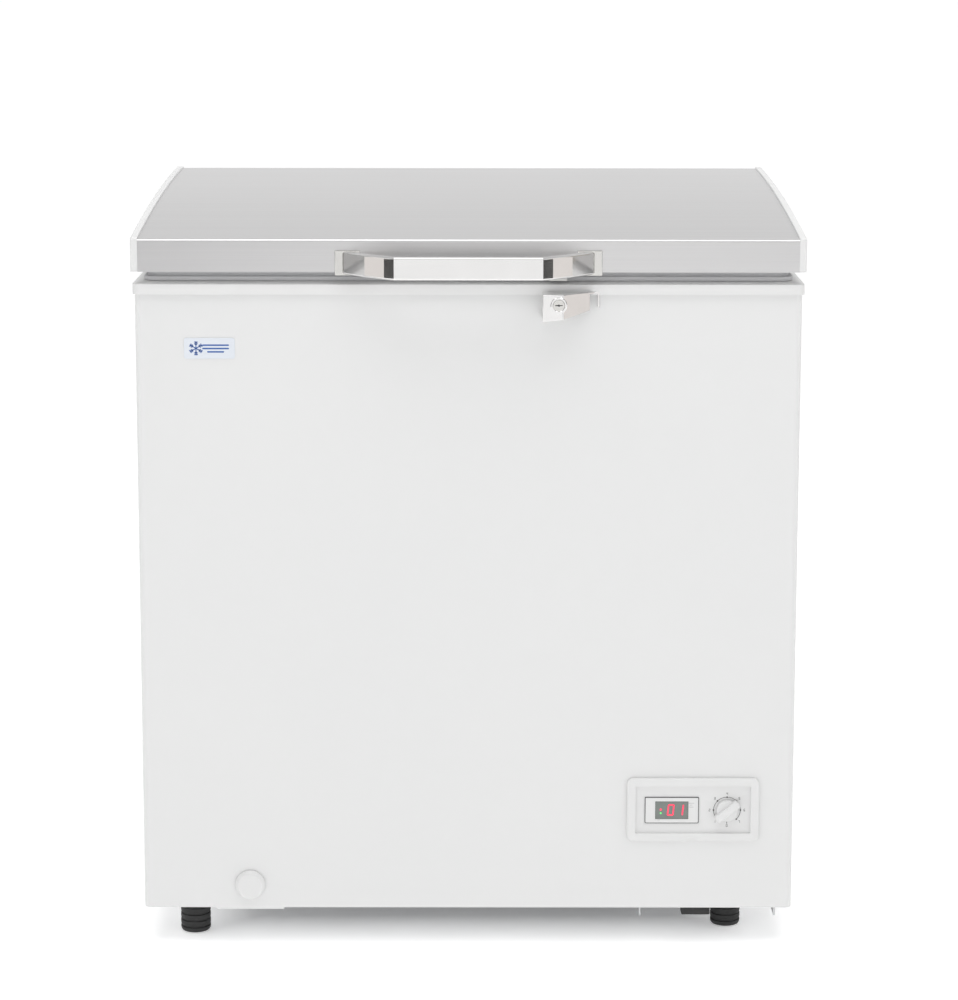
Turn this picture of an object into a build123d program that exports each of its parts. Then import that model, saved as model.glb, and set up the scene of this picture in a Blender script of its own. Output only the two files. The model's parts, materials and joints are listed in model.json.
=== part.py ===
"""Chest freezer: a foamed steel cabinet with a stepped tub over a machine bay, and a hinged stainless lid.

Millimetres. X runs to the right as seen from the front, Y to the back, Z up from the floor.
The pieces are drawn with y = 0 on the face of the front panel; write_parts() then moves them all
by row_shift, so that the overall box is centred on the origin.
"""
from math import atan2, cos, degrees, hypot, radians, sin
import os

from build123d import *

# ---- cabinet ----
cabinet_width = 748.0
cabinet_depth = 548.0
panel_bottom = 45.0
panel_height = 714.0
sheet = 1.0
corner_radius = 7.0
wall = 60.0
floor_wall = 60.0
step_wall = 50.0
tub_corner_radius = 24.0
drip_lip_width = 78.0
drip_lip_height = 2.0

# ---- machine bay, in the right-hand bottom of the cabinet ----
bay_clearance = 12.25
bay_height = 220.0

# ---- trim round the tub mouth ----
trim_height = 14.0
trim_front_overhang = 4.0
trim_side_overhang = 2.3
trim_slope_height = 2.5
trim_slope_width = 10.0
ledge_width = 14.0
ledge_drop = 8.0
skirt_thickness = 2.5
skirt_height = 14.0
skirt_gap = 0.2

# ---- lid ----
lid_side_overhang = 3.0
lid_lead = 8.0
lid_rear_overhang = 8.0
lid_gap = 12.0
lid_front_height = 36.5
lid_rear_rise = 33.0
lid_arch_radius = 6000.0
lid_front_edge_radius = 3.0
lid_rear_edge_radius = 10.0
lid_flange = 14.0
cap_thickness = 8.0
cap_proud = 2.0
cap_spigot = 8.0
lid_liner_thickness = 2.0
pan_depth = 9.0
pan_margin = 22.0
gasket_width = 18.0
gasket_setback = 12.0
gasket_clearance = 0.3

# ---- handle ----
handle_reach = 62.0
handle_height = 25.4
handle_centre_above_lid = 10.5
handle_thickness = 13.0
handle_straight = 168.0
handle_leg_offsets = ((11.0, 53.0), (33.0, 31.0), (56.0, 0.0))
handle_bend_radius = 7.0
handle_edge_radius = 3.5
handle_pad_width = 16.0
handle_pad_height = 28.0
handle_pad_thickness = 3.0
handle_screw_radius = 2.5
handle_screw_length = 26.0

# ---- hinges ----
hinge_from_side = 144.0
hinge_back = 20.0
hinge_above_lid = 2.0
hinge_pin_radius = 3.0
hinge_running_gap = 0.05
hinge_base_width = 50.0
hinge_base_height = 120.0
hinge_plate = 2.0
hinge_knuckle_radius = 9.5
hinge_leaf_width = 41.0
hinge_leaf_height = 46.0
spring_turns = 8
spring_wire = 1.6
spring_radius = 6.2

# ---- lock ----
lock_left = 82.0
lock_flat_width = 23.0
lock_width = 64.5
lock_reach = 38.0
lock_top_above_panel = 4.0
lock_height = 30.0
lock_right_height = 17.5
lock_wall = 2.0
lock_axis_right = 18.0
lock_axis_down = 11.5
barrel_radius = 8.4
barrel_wall = 1.9
barrel_proud = 1.6
barrel_flange = 0.9
cylinder_gap = 0.05
cam_thickness = 2.5
cam_gap = 1.5
cam_half_width = 8.0
cam_reach = 31.0
cam_slot_radius = 26.5
keeper_pin_radius = 2.0
keeper_slot_gap = 0.3
keeper_width = 20.0

# ---- control panel ----
bezel_width = 152.0
bezel_height = 75.0
bezel_radius = 7.0
bezel_proud = 4.0
bezel_from_side = 115.5
bezel_centre_height = 118.0
recess_width = 132.5
recess_height = 56.0
recess_depth = 3.0
bezel_lip = 2.0
display_width = 62.0
display_height = 31.0
display_from_left = 11.0
display_below_centre = 0.8
window_width = 38.0
window_height = 21.0
knob_from_right = 27.0
knob_below_centre = 0.8
knob_radius = 12.5
knob_disc = 5.0
knob_ridge_length = 32.0
knob_ridge_width = 9.0
knob_ridge_height = 10.0
knob_angle = 38.0
shaft_radius = 3.0
shaft_gap = 0.05

# ---- drain ----
drain_from_side = 122.5
drain_height = 27.5
drain_bore = 9.0
drain_wall = 2.0
drain_back = 104.0
cap_radius = 17.2
cap_face_radius = 13.8
cap_length = 6.0
plug_gap = 0.4

# ---- feet ----
foot_radius = 17.5
foot_edge_radius = 5.0
foot_stud_radius = 4.0
foot_travel = 10.0
left_foot_side = 54.0
left_foot_back = 55.0
right_foot_side = 70.0
right_foot_back = 80.0
rear_foot_back = 55.0
foot_grooves = 5
foot_groove_depth = 0.8
foot_groove_width = 2.2

# ---- compressor and its base plate ----
base_plate_width = 158.0
base_plate_side = 18.0
base_plate_sheet = 2.0
base_plate_flange = 12.0
base_plate_front = 8.0
compressor_radius = 60.0
compressor_height = 138.0
compressor_back = 330.0
compressor_lift = 14.0
mount_spread_x = 84.0
mount_spread_y = 104.0
bolt_radius = 3.0
block_width = 33.0
block_height = 11.0
block_offset = 13.0
block_depth = 20.0

# ---- refrigerant tubes ----
evaporator_levels = 6
evaporator_tube_radius = 4.0
condenser_levels = 6
condenser_tube_radius = 2.4
tube_channel_gap = 0.5
tube_bend_radius = 14.0

# ---- grilles ----
grille_slots = 9
side_grille_width = 150.0
side_grille_height = 130.0
rear_grille_width = 160.0
rear_grille_height = 180.0
grille_thickness = 3.0
grille_rim = 9.0

# ---- basket ----
basket_width = 230.0
basket_height = 190.0
basket_wall = 4.0
basket_rim = 5.0
basket_side_gap = 10.0
basket_from_left = 60.0

# ---- badge ----
badge_width = 57.0
badge_height = 23.5
badge_thickness = 0.8
badge_from_side = 83.5
badge_below_top = 61.0

# ---- worked out from the sizes above ----
half_width = cabinet_width / 2
bezel_x = half_width - bezel_from_side
bezel_cut_x = recess_width + 2 * bezel_lip
bezel_cut_z = recess_height + 2 * bezel_lip
panel_top = panel_bottom + panel_height
trim_top = panel_top + trim_height
lid_front = -lid_lead
lid_rear = cabinet_depth + lid_rear_overhang
lid_bottom = trim_top + lid_gap
lid_half = half_width + lid_side_overhang
steel_half = lid_half - cap_thickness
tub_half = half_width - wall
tub_front = wall
tub_rear = cabinet_depth - wall
tub_floor = panel_bottom + floor_wall
bay_left = bezel_x - bezel_cut_x / 2 - bay_clearance
bay_top = panel_bottom + bay_height
tub_step_x = bay_left - step_wall
tub_step_z = bay_top + step_wall
hinge_y = cabinet_depth + hinge_back
hinge_z = lid_bottom + hinge_above_lid
handle_front = lid_front - handle_reach
handle_z = lid_bottom + handle_centre_above_lid
rearmost = hinge_y + hinge_knuckle_radius
row_shift = -(handle_front + rearmost) / 2
lock_x = lock_left + lock_axis_right
lock_top = panel_top + lock_top_above_panel
lock_z = lock_top - lock_axis_down
cam_back = -trim_front_overhang - cam_gap
cam_front = cam_back - cam_thickness
bezel_z = panel_bottom + bezel_centre_height
recess_floor = -bezel_proud + recess_depth
display_x = bezel_x - recess_width / 2 + display_from_left + display_width / 2
display_z = bezel_z - display_below_centre
knob_x = bezel_x + recess_width / 2 - knob_from_right
knob_z = bezel_z - knob_below_centre
drain_x = -half_width + drain_from_side
drain_z = panel_bottom + drain_height
base_plate_x = half_width - base_plate_side - base_plate_width / 2
base_plate_top = panel_bottom
base_plate_rear = cabinet_depth - base_plate_front
compressor_x = base_plate_x


def block(x0, x1, y0, y1, z0, z1):
    """A box between two corners."""
    return Pos((x0 + x1) / 2, (y0 + y1) / 2, (z0 + z1) / 2) * Box(x1 - x0, y1 - y0, z1 - z0)


def rod_x(x0, x1, y, z, radius):
    """A round rod along X."""
    return Pos((x0 + x1) / 2, y, z) * Rot(0, 90, 0) * Cylinder(radius, x1 - x0)


def rod_y(x, y0, y1, z, radius):
    """A round rod along Y."""
    return Pos(x, (y0 + y1) / 2, z) * Rot(90, 0, 0) * Cylinder(radius, y1 - y0)


def rod_z(x, y, z0, z1, radius):
    """A round rod along Z."""
    return Pos(x, y, (z0 + z1) / 2) * Cylinder(radius, z1 - z0)


def slab(x0, x1, y0, y1, z0, z1, radius):
    """A plate seen from above as a rectangle with rounded corners."""
    outline = Pos((x0 + x1) / 2, (y0 + y1) / 2, z0) * RectangleRounded(x1 - x0, y1 - y0, radius)
    return extrude(outline, z1 - z0, dir=(0, 0, 1))


def plate_y(x, z, width, height, radius, y0, y1):
    """A plate seen from the front as a rectangle with rounded corners."""
    outline = Location((x, y0, z), (90, 0, 0)) * RectangleRounded(width, height, radius)
    return extrude(outline, y1 - y0, dir=(0, 1, 0))


def plan(points, z0, z1):
    """A straight-sided outline seen from above, raised between two heights."""
    face = make_face(Polyline(*[(x, y, z0) for x, y in points], close=True))
    return extrude(face, z1 - z0, dir=(0, 0, 1))


def profile_x(points, x0, x1):
    """A straight-sided outline seen from the side, carried across between two places."""
    face = make_face(Polyline(*[(x0, y, z) for y, z in points], close=True))
    return extrude(face, x1 - x0, dir=(1, 0, 0))


def profile_y(points, y0, y1):
    """A straight-sided outline seen from the front, carried back between two places."""
    face = make_face(Polyline(*[(x, y0, z) for x, z in points], close=True))
    return extrude(face, y1 - y0, dir=(0, 1, 0))


def group(solids):
    """Separate solids kept in one node."""
    return Compound(children=[s for piece in solids for s in piece.solids()])


def tube(points, radius, bend):
    """A round tube on straight runs joined by tangent arcs."""
    path = FilletPolyline(*points, radius=bend)
    section = Plane(origin=path @ 0, z_dir=path % 0) * Circle(radius)
    return sweep(section, path=path)


# ---- cabinet ----
def tub(grow, top):
    """The stepped tub, with its faces moved outwards by grow and its top at the height top."""
    radius = tub_corner_radius + grow
    upper = slab(-tub_half - grow, tub_half + grow, tub_front - grow, tub_rear + grow,
                 tub_step_z - grow, top, radius)
    lower = slab(-tub_half - grow, tub_step_x + grow, tub_front - grow, tub_rear + grow,
                 tub_floor - grow, tub_step_z + radius, radius)
    return upper + lower


def inside_shell(z0, z1, back=None):
    """The space inside the front and side sheets, rounded at the two front corners."""
    half = half_width - sheet
    rear = cabinet_depth - sheet if back is None else back
    radius = corner_radius - sheet
    front = slab(-half, half, sheet, rear, z0, z1, radius)
    return front + block(-half, half, sheet + 2 * radius, rear, z0, z1)


def inner_liner():
    """Thin stepped tub, open at the top and drilled for the drain."""
    liner = tub(sheet, panel_top) - tub(0, panel_top + 1)
    return liner - rod_z(drain_x, drain_back, tub_floor - 2 * sheet, tub_floor + sheet, drain_bore)


def cabinet_shell():
    """Front and both sides bent from one painted sheet, with its cut-outs."""
    outer = slab(-half_width, half_width, 0, cabinet_depth, panel_bottom, panel_top, corner_radius)
    outer += block(-half_width, half_width, corner_radius * 2, cabinet_depth, panel_bottom, panel_top)
    shell = outer - inside_shell(panel_bottom - 1, panel_top + 1, cabinet_depth + 1)
    shell -= block(bezel_x - bezel_cut_x / 2, bezel_x + bezel_cut_x / 2, -1, 2 * sheet,
                   bezel_z - bezel_cut_z / 2, bezel_z + bezel_cut_z / 2)
    shell -= rod_y(drain_x, -1, 2 * sheet, drain_z, drain_bore + drain_wall)
    reach = side_grille_width / 2 - grille_rim
    rise = side_grille_height / 2 - grille_rim
    shell -= block(half_width - 2 * sheet, half_width + 1, side_grille_y() - reach, side_grille_y() + reach,
                   side_grille_z() - rise, side_grille_z() + rise)
    lip_x = drain_x - drip_lip_width / 2
    shell += block(lip_x, lip_x + drip_lip_width, 0, sheet, panel_bottom - drip_lip_height, panel_bottom)
    return shell


def side_grille_y():
    """Centre of the side grille, near the back of the bay."""
    return cabinet_depth - side_grille_width / 2 - 50


def side_grille_z():
    """Centre height of the side grille."""
    return panel_bottom + 30 + side_grille_height / 2


def rear_grille_x():
    """Centre of the rear grille."""
    return (half_width + bay_left) / 2


def rear_grille_z():
    """Centre height of the rear grille."""
    return panel_bottom + 20 + rear_grille_height / 2


def rear_panel():
    """Flat back sheet between the side sheets."""
    panel = block(-half_width + sheet, half_width - sheet, cabinet_depth - sheet, cabinet_depth,
                  panel_bottom, panel_top)
    reach = rear_grille_width / 2 - grille_rim
    rise = rear_grille_height / 2 - grille_rim
    return panel - block(rear_grille_x() - reach, rear_grille_x() + reach, cabinet_depth - 2 * sheet,
                         cabinet_depth + 1, rear_grille_z() - rise, rear_grille_z() + rise)


def bottom_plate():
    """Bottom sheet, open under the compressor."""
    plate = inside_shell(panel_bottom, panel_bottom + sheet)
    inset = base_plate_width / 2 - 16
    plate -= block(base_plate_x - inset, base_plate_x + inset, right_foot_back + 40,
                   cabinet_depth - rear_foot_back - 40, panel_bottom - 1, panel_bottom + 2 * sheet)
    for x, y in foot_places():
        plate -= rod_z(x, y, panel_bottom - 1, panel_bottom + 2 * sheet, foot_stud_radius + 0.05)
    return plate


def bay_wall():
    """Bent sheet that keeps the foam out of the machine bay."""
    outer = inside_shell(panel_bottom + sheet, bay_top + sheet)
    outer &= block(bay_left - sheet, half_width, 0, cabinet_depth, panel_bottom, bay_top + sheet)
    inner = block(bay_left, half_width, 0, cabinet_depth, panel_bottom, bay_top)
    wall_sheet = outer - inner
    for x, y in riser_places():
        wall_sheet -= rod_z(x, y, bay_top - 1, bay_top + 2 * sheet, evaporator_tube_radius + 1)
    return wall_sheet


def cabinet_foam():
    """Rigid foam between the outer sheets and the liner, channelled for the tubes."""
    foam = inside_shell(panel_bottom + sheet, panel_top)
    foam -= block(bay_left - sheet, half_width, 0, cabinet_depth, panel_bottom, bay_top + sheet)
    foam -= tub(sheet, panel_top + 1)
    for channel in coil_channels(evaporator_route(), evaporator_tube_radius):
        foam -= channel
    for channel in coil_channels(condenser_route(), condenser_tube_radius):
        foam -= channel
    foam -= drain_outline(drain_bore + drain_wall, -1, tub_floor)
    for x, y in foot_places():
        if x < 0:
            foam -= rod_z(x, y, panel_bottom, panel_bottom + 36, foot_stud_radius + 6)
    return foam


# ---- refrigerant circuit ----
def coil_route(side, front, rear, low, high, levels):
    """A coil's corner points: it wraps the two sides and the front, level after level, and both its
    ends drop into the machine bay at the rear of the right-hand side."""
    pitch = (high - low) / (levels - 1)
    points = [(side, rear, bay_top - 24)]
    for level in range(levels):
        z = low + level * pitch
        way = 1 if level % 2 == 0 else -1
        points += [(way * side, rear, z), (way * side, front, z), (-way * side, front, z), (-way * side, rear, z)]
    lane = rear + 3.2 * tube_bend_radius
    points[-1] = (side, lane, high)
    points.append((side, lane, bay_top - 24))
    return points


def evaporator_route():
    """Cold tube, in the foam against the liner."""
    off = sheet + tube_channel_gap + evaporator_tube_radius
    return coil_route(tub_half + off, tub_front - off, tub_rear - 70, tub_step_z + 20, panel_top - 40,
                      evaporator_levels)


def condenser_route():
    """Warm tube, in the foam against the outer sheets."""
    off = sheet + tube_channel_gap + condenser_tube_radius
    return coil_route(half_width - off, off, cabinet_depth - 110, tub_step_z + 50, panel_top - 25,
                      condenser_levels)


def coil_channels(route, radius):
    """Square channels in the foam round each run and bend of a coil."""
    reach = radius + tube_channel_gap
    spans = list(zip(route, route[1:]))
    for a, corner, b in zip(route, route[1:], route[2:]):
        ends = [toward(corner, other, tube_bend_radius) for other in (a, b)]
        spans.append(ends)
    channels = []
    for a, b in spans:
        low = [min(p, q) - reach for p, q in zip(a, b)]
        high = [max(p, q) + reach for p, q in zip(a, b)]
        channels.append(block(low[0], high[0], low[1], high[1], low[2], high[2]))
    return channels


def toward(start, end, distance):
    """The point at a distance from start on the way to end."""
    length = sum((q - p) ** 2 for p, q in zip(start, end)) ** 0.5
    return tuple(p + (q - p) * distance / length for p, q in zip(start, end))


def riser_places():
    """Where the four tube ends come through the top of the machine bay."""
    routes = (evaporator_route(), condenser_route())
    return [route[end][:2] for route in routes for end in (0, -1)]


def compressor():
    """Welded steel can: a deep lower cup, a rolled seam and a domed top."""
    low = base_plate_top + compressor_lift
    high = low + compressor_height
    can = rod_z(compressor_x, compressor_back, low, high, compressor_radius)
    can = fillet(can.edges().filter_by(GeomType.CIRCLE), compressor_radius * 0.35)
    seam = low + compressor_height * 0.58
    can += rod_z(compressor_x, compressor_back, seam, seam + 5, compressor_radius + 3)
    spread_x = mount_spread_x / 2
    spread_y = mount_spread_y / 2
    legs = block(compressor_x - spread_x - 12, compressor_x + spread_x + 12, compressor_back - spread_y - 12,
                 compressor_back + spread_y + 12, low - 3, low)
    can += legs
    for x, y in compressor_mounts():
        can -= rod_z(x, y, low - 4, low + 1, 6.0)
    return can


def compressor_mounts():
    """The four bolt places under the compressor."""
    return [(compressor_x + sx * mount_spread_x / 2, compressor_back + sy * mount_spread_y / 2)
            for sx in (-1, 1) for sy in (-1, 1)]


def compressor_grommets():
    """Rubber bushes between the base plate and the compressor's legs."""
    low = base_plate_top + compressor_lift
    bushes = []
    for x, y in compressor_mounts():
        bush = rod_z(x, y, base_plate_top, low - 3, 9) + rod_z(x, y, low - 3, low, 5.8)
        bush += rod_z(x, y, low, low + 3, 8)
        bushes.append(bush - rod_z(x, y, base_plate_top - 1, low + 4, 4.0))
    return group(bushes)


def compressor_bolts():
    """Bolts through the bushes, with their heads on top."""
    low = base_plate_top + compressor_lift
    return group([rod_z(x, y, base_plate_top - base_plate_sheet - 5, low + 3, bolt_radius)
                  + rod_z(x, y, low + 3, low + 8, 7) for x, y in compressor_mounts()])


def compressor_base_plate():
    """Folded plate under the bay that carries the compressor and the two right-hand feet."""
    left = base_plate_x - base_plate_width / 2
    right = base_plate_x + base_plate_width / 2
    low = base_plate_top - base_plate_sheet
    plate = block(left, right, base_plate_front, base_plate_rear, low, base_plate_top)
    for x in (left, right - base_plate_sheet):
        plate += block(x, x + base_plate_sheet, base_plate_front, base_plate_rear, low - base_plate_flange + 2,
                       base_plate_top)
    for x, y in compressor_mounts():
        plate -= rod_z(x, y, low - 1, base_plate_top + 1, bolt_radius + 0.2)
    for x, y in foot_places():
        if x > 0:
            plate -= rod_z(x, y, low - 1, base_plate_top + 1, foot_stud_radius + 0.05)
    return plate


def relay_cover():
    """Plastic cover over the compressor's terminals, on the side away from the panel."""
    low = base_plate_top + compressor_lift + compressor_height * 0.2
    y = compressor_back - compressor_radius - 14
    cover = block(compressor_x - 22, compressor_x + 22, y - 12, compressor_back, low, low + 58)
    return cover - rod_z(compressor_x, compressor_back, low - 1, low + 59, compressor_radius + 3.2)


def filter_drier():
    """Copper drier standing in the bay, ahead of the compressor."""
    x = bay_left + 26
    y = compressor_back - 150
    low = panel_bottom + 50
    body = rod_z(x, y, low, low + 90, 9)
    body = fillet(body.edges().filter_by(GeomType.CIRCLE), 6)
    return body + rod_z(x, y, low - 16, low + 106, 3)


def rear_grille():
    """Slotted cover over the bay at the back."""
    face = Plane(origin=(rear_grille_x(), cabinet_depth, rear_grille_z()), x_dir=(-1, 0, 0), z_dir=(0, 1, 0))
    return face.location * slotted(rear_grille_width, rear_grille_height)


def side_grille():
    """Slotted cover in the right-hand side."""
    face = Plane(origin=(half_width, side_grille_y(), side_grille_z()), x_dir=(0, 1, 0), z_dir=(1, 0, 0))
    return face.location * slotted(side_grille_width, side_grille_height)


def slotted(width, height):
    """A rounded plate with a stack of slots, drawn flat."""
    plate = extrude(RectangleRounded(width, height, 6), grille_thickness)
    pitch = (height - 34) / (grille_slots - 1)
    for row in range(grille_slots):
        y = -height / 2 + 17 + row * pitch
        plate -= Pos(0, y, grille_thickness / 2) * Box(width - 30, pitch * 0.5, grille_thickness * 2)
    return plate


# ---- trim ----
def trim_ring():
    """Plastic frame round the tub mouth: sloped top, basket ledge and inner skirt."""
    side = half_width + trim_side_overhang
    front = -trim_front_overhang
    rear = cabinet_depth + trim_front_overhang
    slope_z = trim_top - trim_slope_height
    radius = corner_radius + trim_side_overhang
    ring = slab(-side, side, front, rear, panel_top, slope_z, radius)
    lower = Pos(0, (front + rear) / 2, slope_z) * RectangleRounded(2 * side, rear - front, radius)
    upper = Pos(0, (front + rear) / 2, trim_top) * RectangleRounded(
        2 * (side - trim_slope_width), rear - front - 2 * trim_slope_width, radius - 3)
    ring += loft([lower, upper])
    inset = skirt_thickness + skirt_gap
    mouth = slab(-tub_half + inset, tub_half - inset, tub_front + inset, tub_rear - inset,
                 panel_top - skirt_height - 1, trim_top + 1, tub_corner_radius - inset)
    ledge = slab(-tub_half + inset - ledge_width, tub_half - inset + ledge_width,
                 tub_front + inset - ledge_width, tub_rear - inset + ledge_width,
                 trim_top - ledge_drop, trim_top + 1, tub_corner_radius)
    skirt = slab(-tub_half + skirt_gap, tub_half - skirt_gap, tub_front + skirt_gap, tub_rear - skirt_gap,
                 panel_top - skirt_height, panel_top, tub_corner_radius - skirt_gap)
    return ring - ledge + skirt - mouth


def trim_rails():
    """The frame cut at its mitred corners into four rails."""
    ring = trim_ring()
    side = half_width + trim_side_overhang
    front = -trim_front_overhang
    rear = cabinet_depth + trim_front_overhang
    run = min(side, (rear - front) / 2) * 0.45
    low, high = panel_top - skirt_height - 1, trim_top + 1
    corners = {"front": ((-side, front), (side, front), (side - run, front + run), (-side + run, front + run)),
               "rear": ((-side, rear), (side, rear), (side - run, rear - run), (-side + run, rear - run)),
               "left": ((-side, front), (-side, rear), (-side + run, rear - run), (-side + run, front + run)),
               "right": ((side, front), (side, rear), (side - run, rear - run), (side - run, front + run))}
    return {f"trim_rail_{name}": ring & plan(points, low, high) for name, points in corners.items()}


# ---- drain ----
def drain_outline(radius, front, top):
    """The bent drain passage, from the tub floor to the front."""
    drop = rod_z(drain_x, drain_back, drain_z, top, radius)
    run = rod_y(drain_x, front, drain_back, drain_z, radius)
    return drop + run + Pos(drain_x, drain_back, drain_z) * Sphere(radius)


def drain_tube():
    """Plastic elbow through the foam."""
    return drain_outline(drain_bore + drain_wall, 0, tub_floor - sheet) - drain_outline(drain_bore, -1, tub_floor + 1)


def drain_cap():
    """Round outer cap with a stepped face and a stem in the drain tube."""
    cap = rod_y(drain_x, -cap_length, -0.3, drain_z, cap_radius)
    rim = cap.edges().filter_by(GeomType.CIRCLE).sort_by(Axis.Y)[0]
    cap = chamfer(rim, (cap_length - 0.3) * 0.6, cap_radius - cap_face_radius)
    stem = rod_y(drain_x, -1, 22, drain_z, drain_bore - plug_gap)
    return cap + stem - rod_y(drain_x, 2, 23, drain_z, drain_bore - plug_gap - 1.5)


def drain_plug():
    """Rubber plug in the tub floor, with a pull tab."""
    top = tub_floor + plug_gap
    plug = rod_z(drain_x, drain_back, tub_floor - 18, top, drain_bore - plug_gap)
    plug += rod_z(drain_x, drain_back, top, top + 3, drain_bore + 5)
    return plug + block(drain_x - 7, drain_x + 7, drain_back - 1.5, drain_back + 1.5, top + 2, top + 12)


# ---- feet ----
def foot_places():
    """Left-hand feet under the bottom sheet, right-hand feet under the compressor's base plate."""
    left = -half_width + left_foot_side
    right = half_width - right_foot_side
    return [(left, left_foot_back), (right, right_foot_back), (left, cabinet_depth - rear_foot_back),
            (right, cabinet_depth - rear_foot_back)]


def foot(x, y):
    """Ribbed black foot on a threaded stud."""
    high = panel_bottom - 4 if x < 0 else base_plate_top - base_plate_sheet - 2
    body = rod_z(x, y, 0, high, foot_radius)
    bottom = body.edges().filter_by(GeomType.CIRCLE).sort_by(Axis.Z)[0]
    body = fillet(bottom, foot_edge_radius)
    pitch = (high - 14) / foot_grooves
    for groove in range(foot_grooves):
        z = 9 + groove * pitch
        ring = rod_z(x, y, z, z + foot_groove_width, foot_radius + 1)
        body -= ring - rod_z(x, y, z - 1, z + foot_groove_width + 1, foot_radius - foot_groove_depth)
    return body + rod_z(x, y, high, panel_bottom + foot_travel + 14, foot_stud_radius)


def foot_nuts():
    """Weld nuts that the feet screw into."""
    nuts = []
    for x, y in foot_places():
        nut = Pos(x, y, panel_bottom + sheet) * extrude(RegularPolygon(7.5, 6), 6)
        nuts.append(nut - rod_z(x, y, panel_bottom, panel_bottom + 20, foot_stud_radius + 0.05))
    return group(nuts)


def base_plate_block():
    """Black rubber stop under the front of the base plate."""
    x = base_plate_x - block_offset
    low = base_plate_top - base_plate_sheet
    return block(x - block_width / 2, x + block_width / 2, base_plate_front + 2, base_plate_front + 2 + block_depth,
                 low - block_height + 1, low)


# ---- control panel ----
def control_bezel():
    """Raised frame with a recessed floor, a pry notch and holes for the display and the shaft."""
    bezel = plate_y(bezel_x, bezel_z, bezel_width, bezel_height, bezel_radius, -bezel_proud, 0)
    front = bezel.faces().sort_by(Axis.Y)[0]
    bezel = chamfer(front.edges(), 1.0)
    bezel += block(bezel_x - bezel_cut_x / 2 + 0.3, bezel_x + bezel_cut_x / 2 - 0.3, 0, 4,
                   bezel_z - bezel_cut_z / 2 + 0.3, bezel_z + bezel_cut_z / 2 - 0.3)
    bezel -= plate_y(bezel_x, bezel_z, recess_width, recess_height, 1.5, -bezel_proud - 1, recess_floor)
    notch = rod_y(bezel_x, -bezel_proud - 1, -bezel_proud / 2, bezel_z - bezel_height / 2 - 4, 8)
    bezel -= notch
    bezel -= block(display_x - display_width / 2, display_x + display_width / 2, recess_floor - 1, 5,
                   display_z - display_height / 2, display_z + display_height / 2)
    return bezel - rod_y(knob_x, recess_floor - 1, 5, knob_z, shaft_radius + 2)


def display_module():
    """Dark display frame with its board housing behind the panel."""
    frame = plate_y(display_x, display_z, display_width - 0.4, display_height - 0.4, 1.5, recess_floor - 0.8, 4)
    frame += block(display_x - display_width / 2 + 1, display_x + display_width / 2 - 1, 4, 24,
                   display_z - display_height / 2 + 1, display_z + display_height / 2 - 1)
    return frame - block(display_x - window_width / 2, display_x + window_width / 2, -bezel_proud, recess_floor + 1.2,
                         display_z - window_height / 2, display_z + window_height / 2)


def display_lens():
    """Tinted window in the display frame."""
    return block(display_x - window_width / 2 + 0.1, display_x + window_width / 2 - 0.1, recess_floor - 0.5,
                 recess_floor + 1.2, display_z - window_height / 2 + 0.1, display_z + window_height / 2 - 0.1)


def thermostat_body():
    """Thermostat switch behind the panel, with its shaft."""
    body = block(knob_x - 18, knob_x + 18, 4, 32, knob_z - 15, knob_z + 15)
    return body + rod_y(knob_x, recess_floor - 6, 4, knob_z, shaft_radius)


def thermostat_knob():
    """Round knob with a tapered grip ridge that points at the setting."""
    back = recess_floor - 0.5
    front = back - knob_disc
    disc = rod_y(knob_x, front, back, knob_z, knob_radius)
    face = disc.faces().sort_by(Axis.Y)[0]
    disc = fillet(face.edges(), 1.2)
    ridge = Pos(knob_x, back - knob_ridge_height / 2, knob_z) * Rot(0, -knob_angle, 0) * Box(
        knob_ridge_length, knob_ridge_height, knob_ridge_width)
    ridge = fillet(ridge.faces().sort_by(Axis.Y)[0].edges(), 2.0)
    return disc + ridge - rod_y(knob_x, recess_floor - 6.3, back + 1, knob_z, shaft_radius + shaft_gap)


def badge():
    """Thin label on the front panel."""
    x = -half_width + badge_from_side
    return plate_y(x, panel_top - badge_below_top, badge_width, badge_height, 3.0, -badge_thickness, 0)


# ---- lock ----
def lock_housing():
    """Hollow chrome wedge screwed to the panel, open at the back."""
    def wedge(inset, back):
        left, right = lock_left + inset, lock_left + lock_width - inset
        flat = lock_left + lock_flat_width - inset * 0.3
        front = -lock_reach + inset
        body = plan([(left, back), (left, front), (flat, front), (right - 6, -4.5), (right, -4.0), (right, back)],
                    lock_top - lock_height, lock_top)
        low = lock_top - lock_height + inset
        rise = lock_top - lock_right_height + inset
        side = [(left, low), (flat - 4, low + 1.2), (right - 24, low + 5.2), (right, rise),
                (right, lock_top - inset), (left, lock_top - inset)]
        return body & profile_y(side, -lock_reach, 1)

    housing = wedge(0, 0) - wedge(lock_wall, 1)
    housing -= rod_y(lock_x, -lock_reach - 1, -lock_reach + 4 * lock_wall, lock_z, barrel_radius)
    housing -= block(lock_left - 1, lock_left + lock_width + 1, -trim_front_overhang - 0.3, 1,
                     panel_top - 0.3, lock_top + 1)
    return housing - block(lock_x - cam_half_width - 3, lock_x + cam_reach + 3, cam_front - 1.5, 1,
                           lock_z + cam_half_width, lock_top + 1)


def lock_barrel():
    """Fixed sleeve that the key cylinder turns in."""
    back = cam_front - 1.5
    sleeve = rod_y(lock_x, -lock_reach - barrel_proud, back, lock_z, barrel_radius)
    sleeve += rod_y(lock_x, -lock_reach - barrel_proud, -lock_reach, lock_z, barrel_radius + barrel_flange)
    return sleeve - rod_y(lock_x, -lock_reach - 9, back + 1, lock_z, barrel_radius - barrel_wall)


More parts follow.
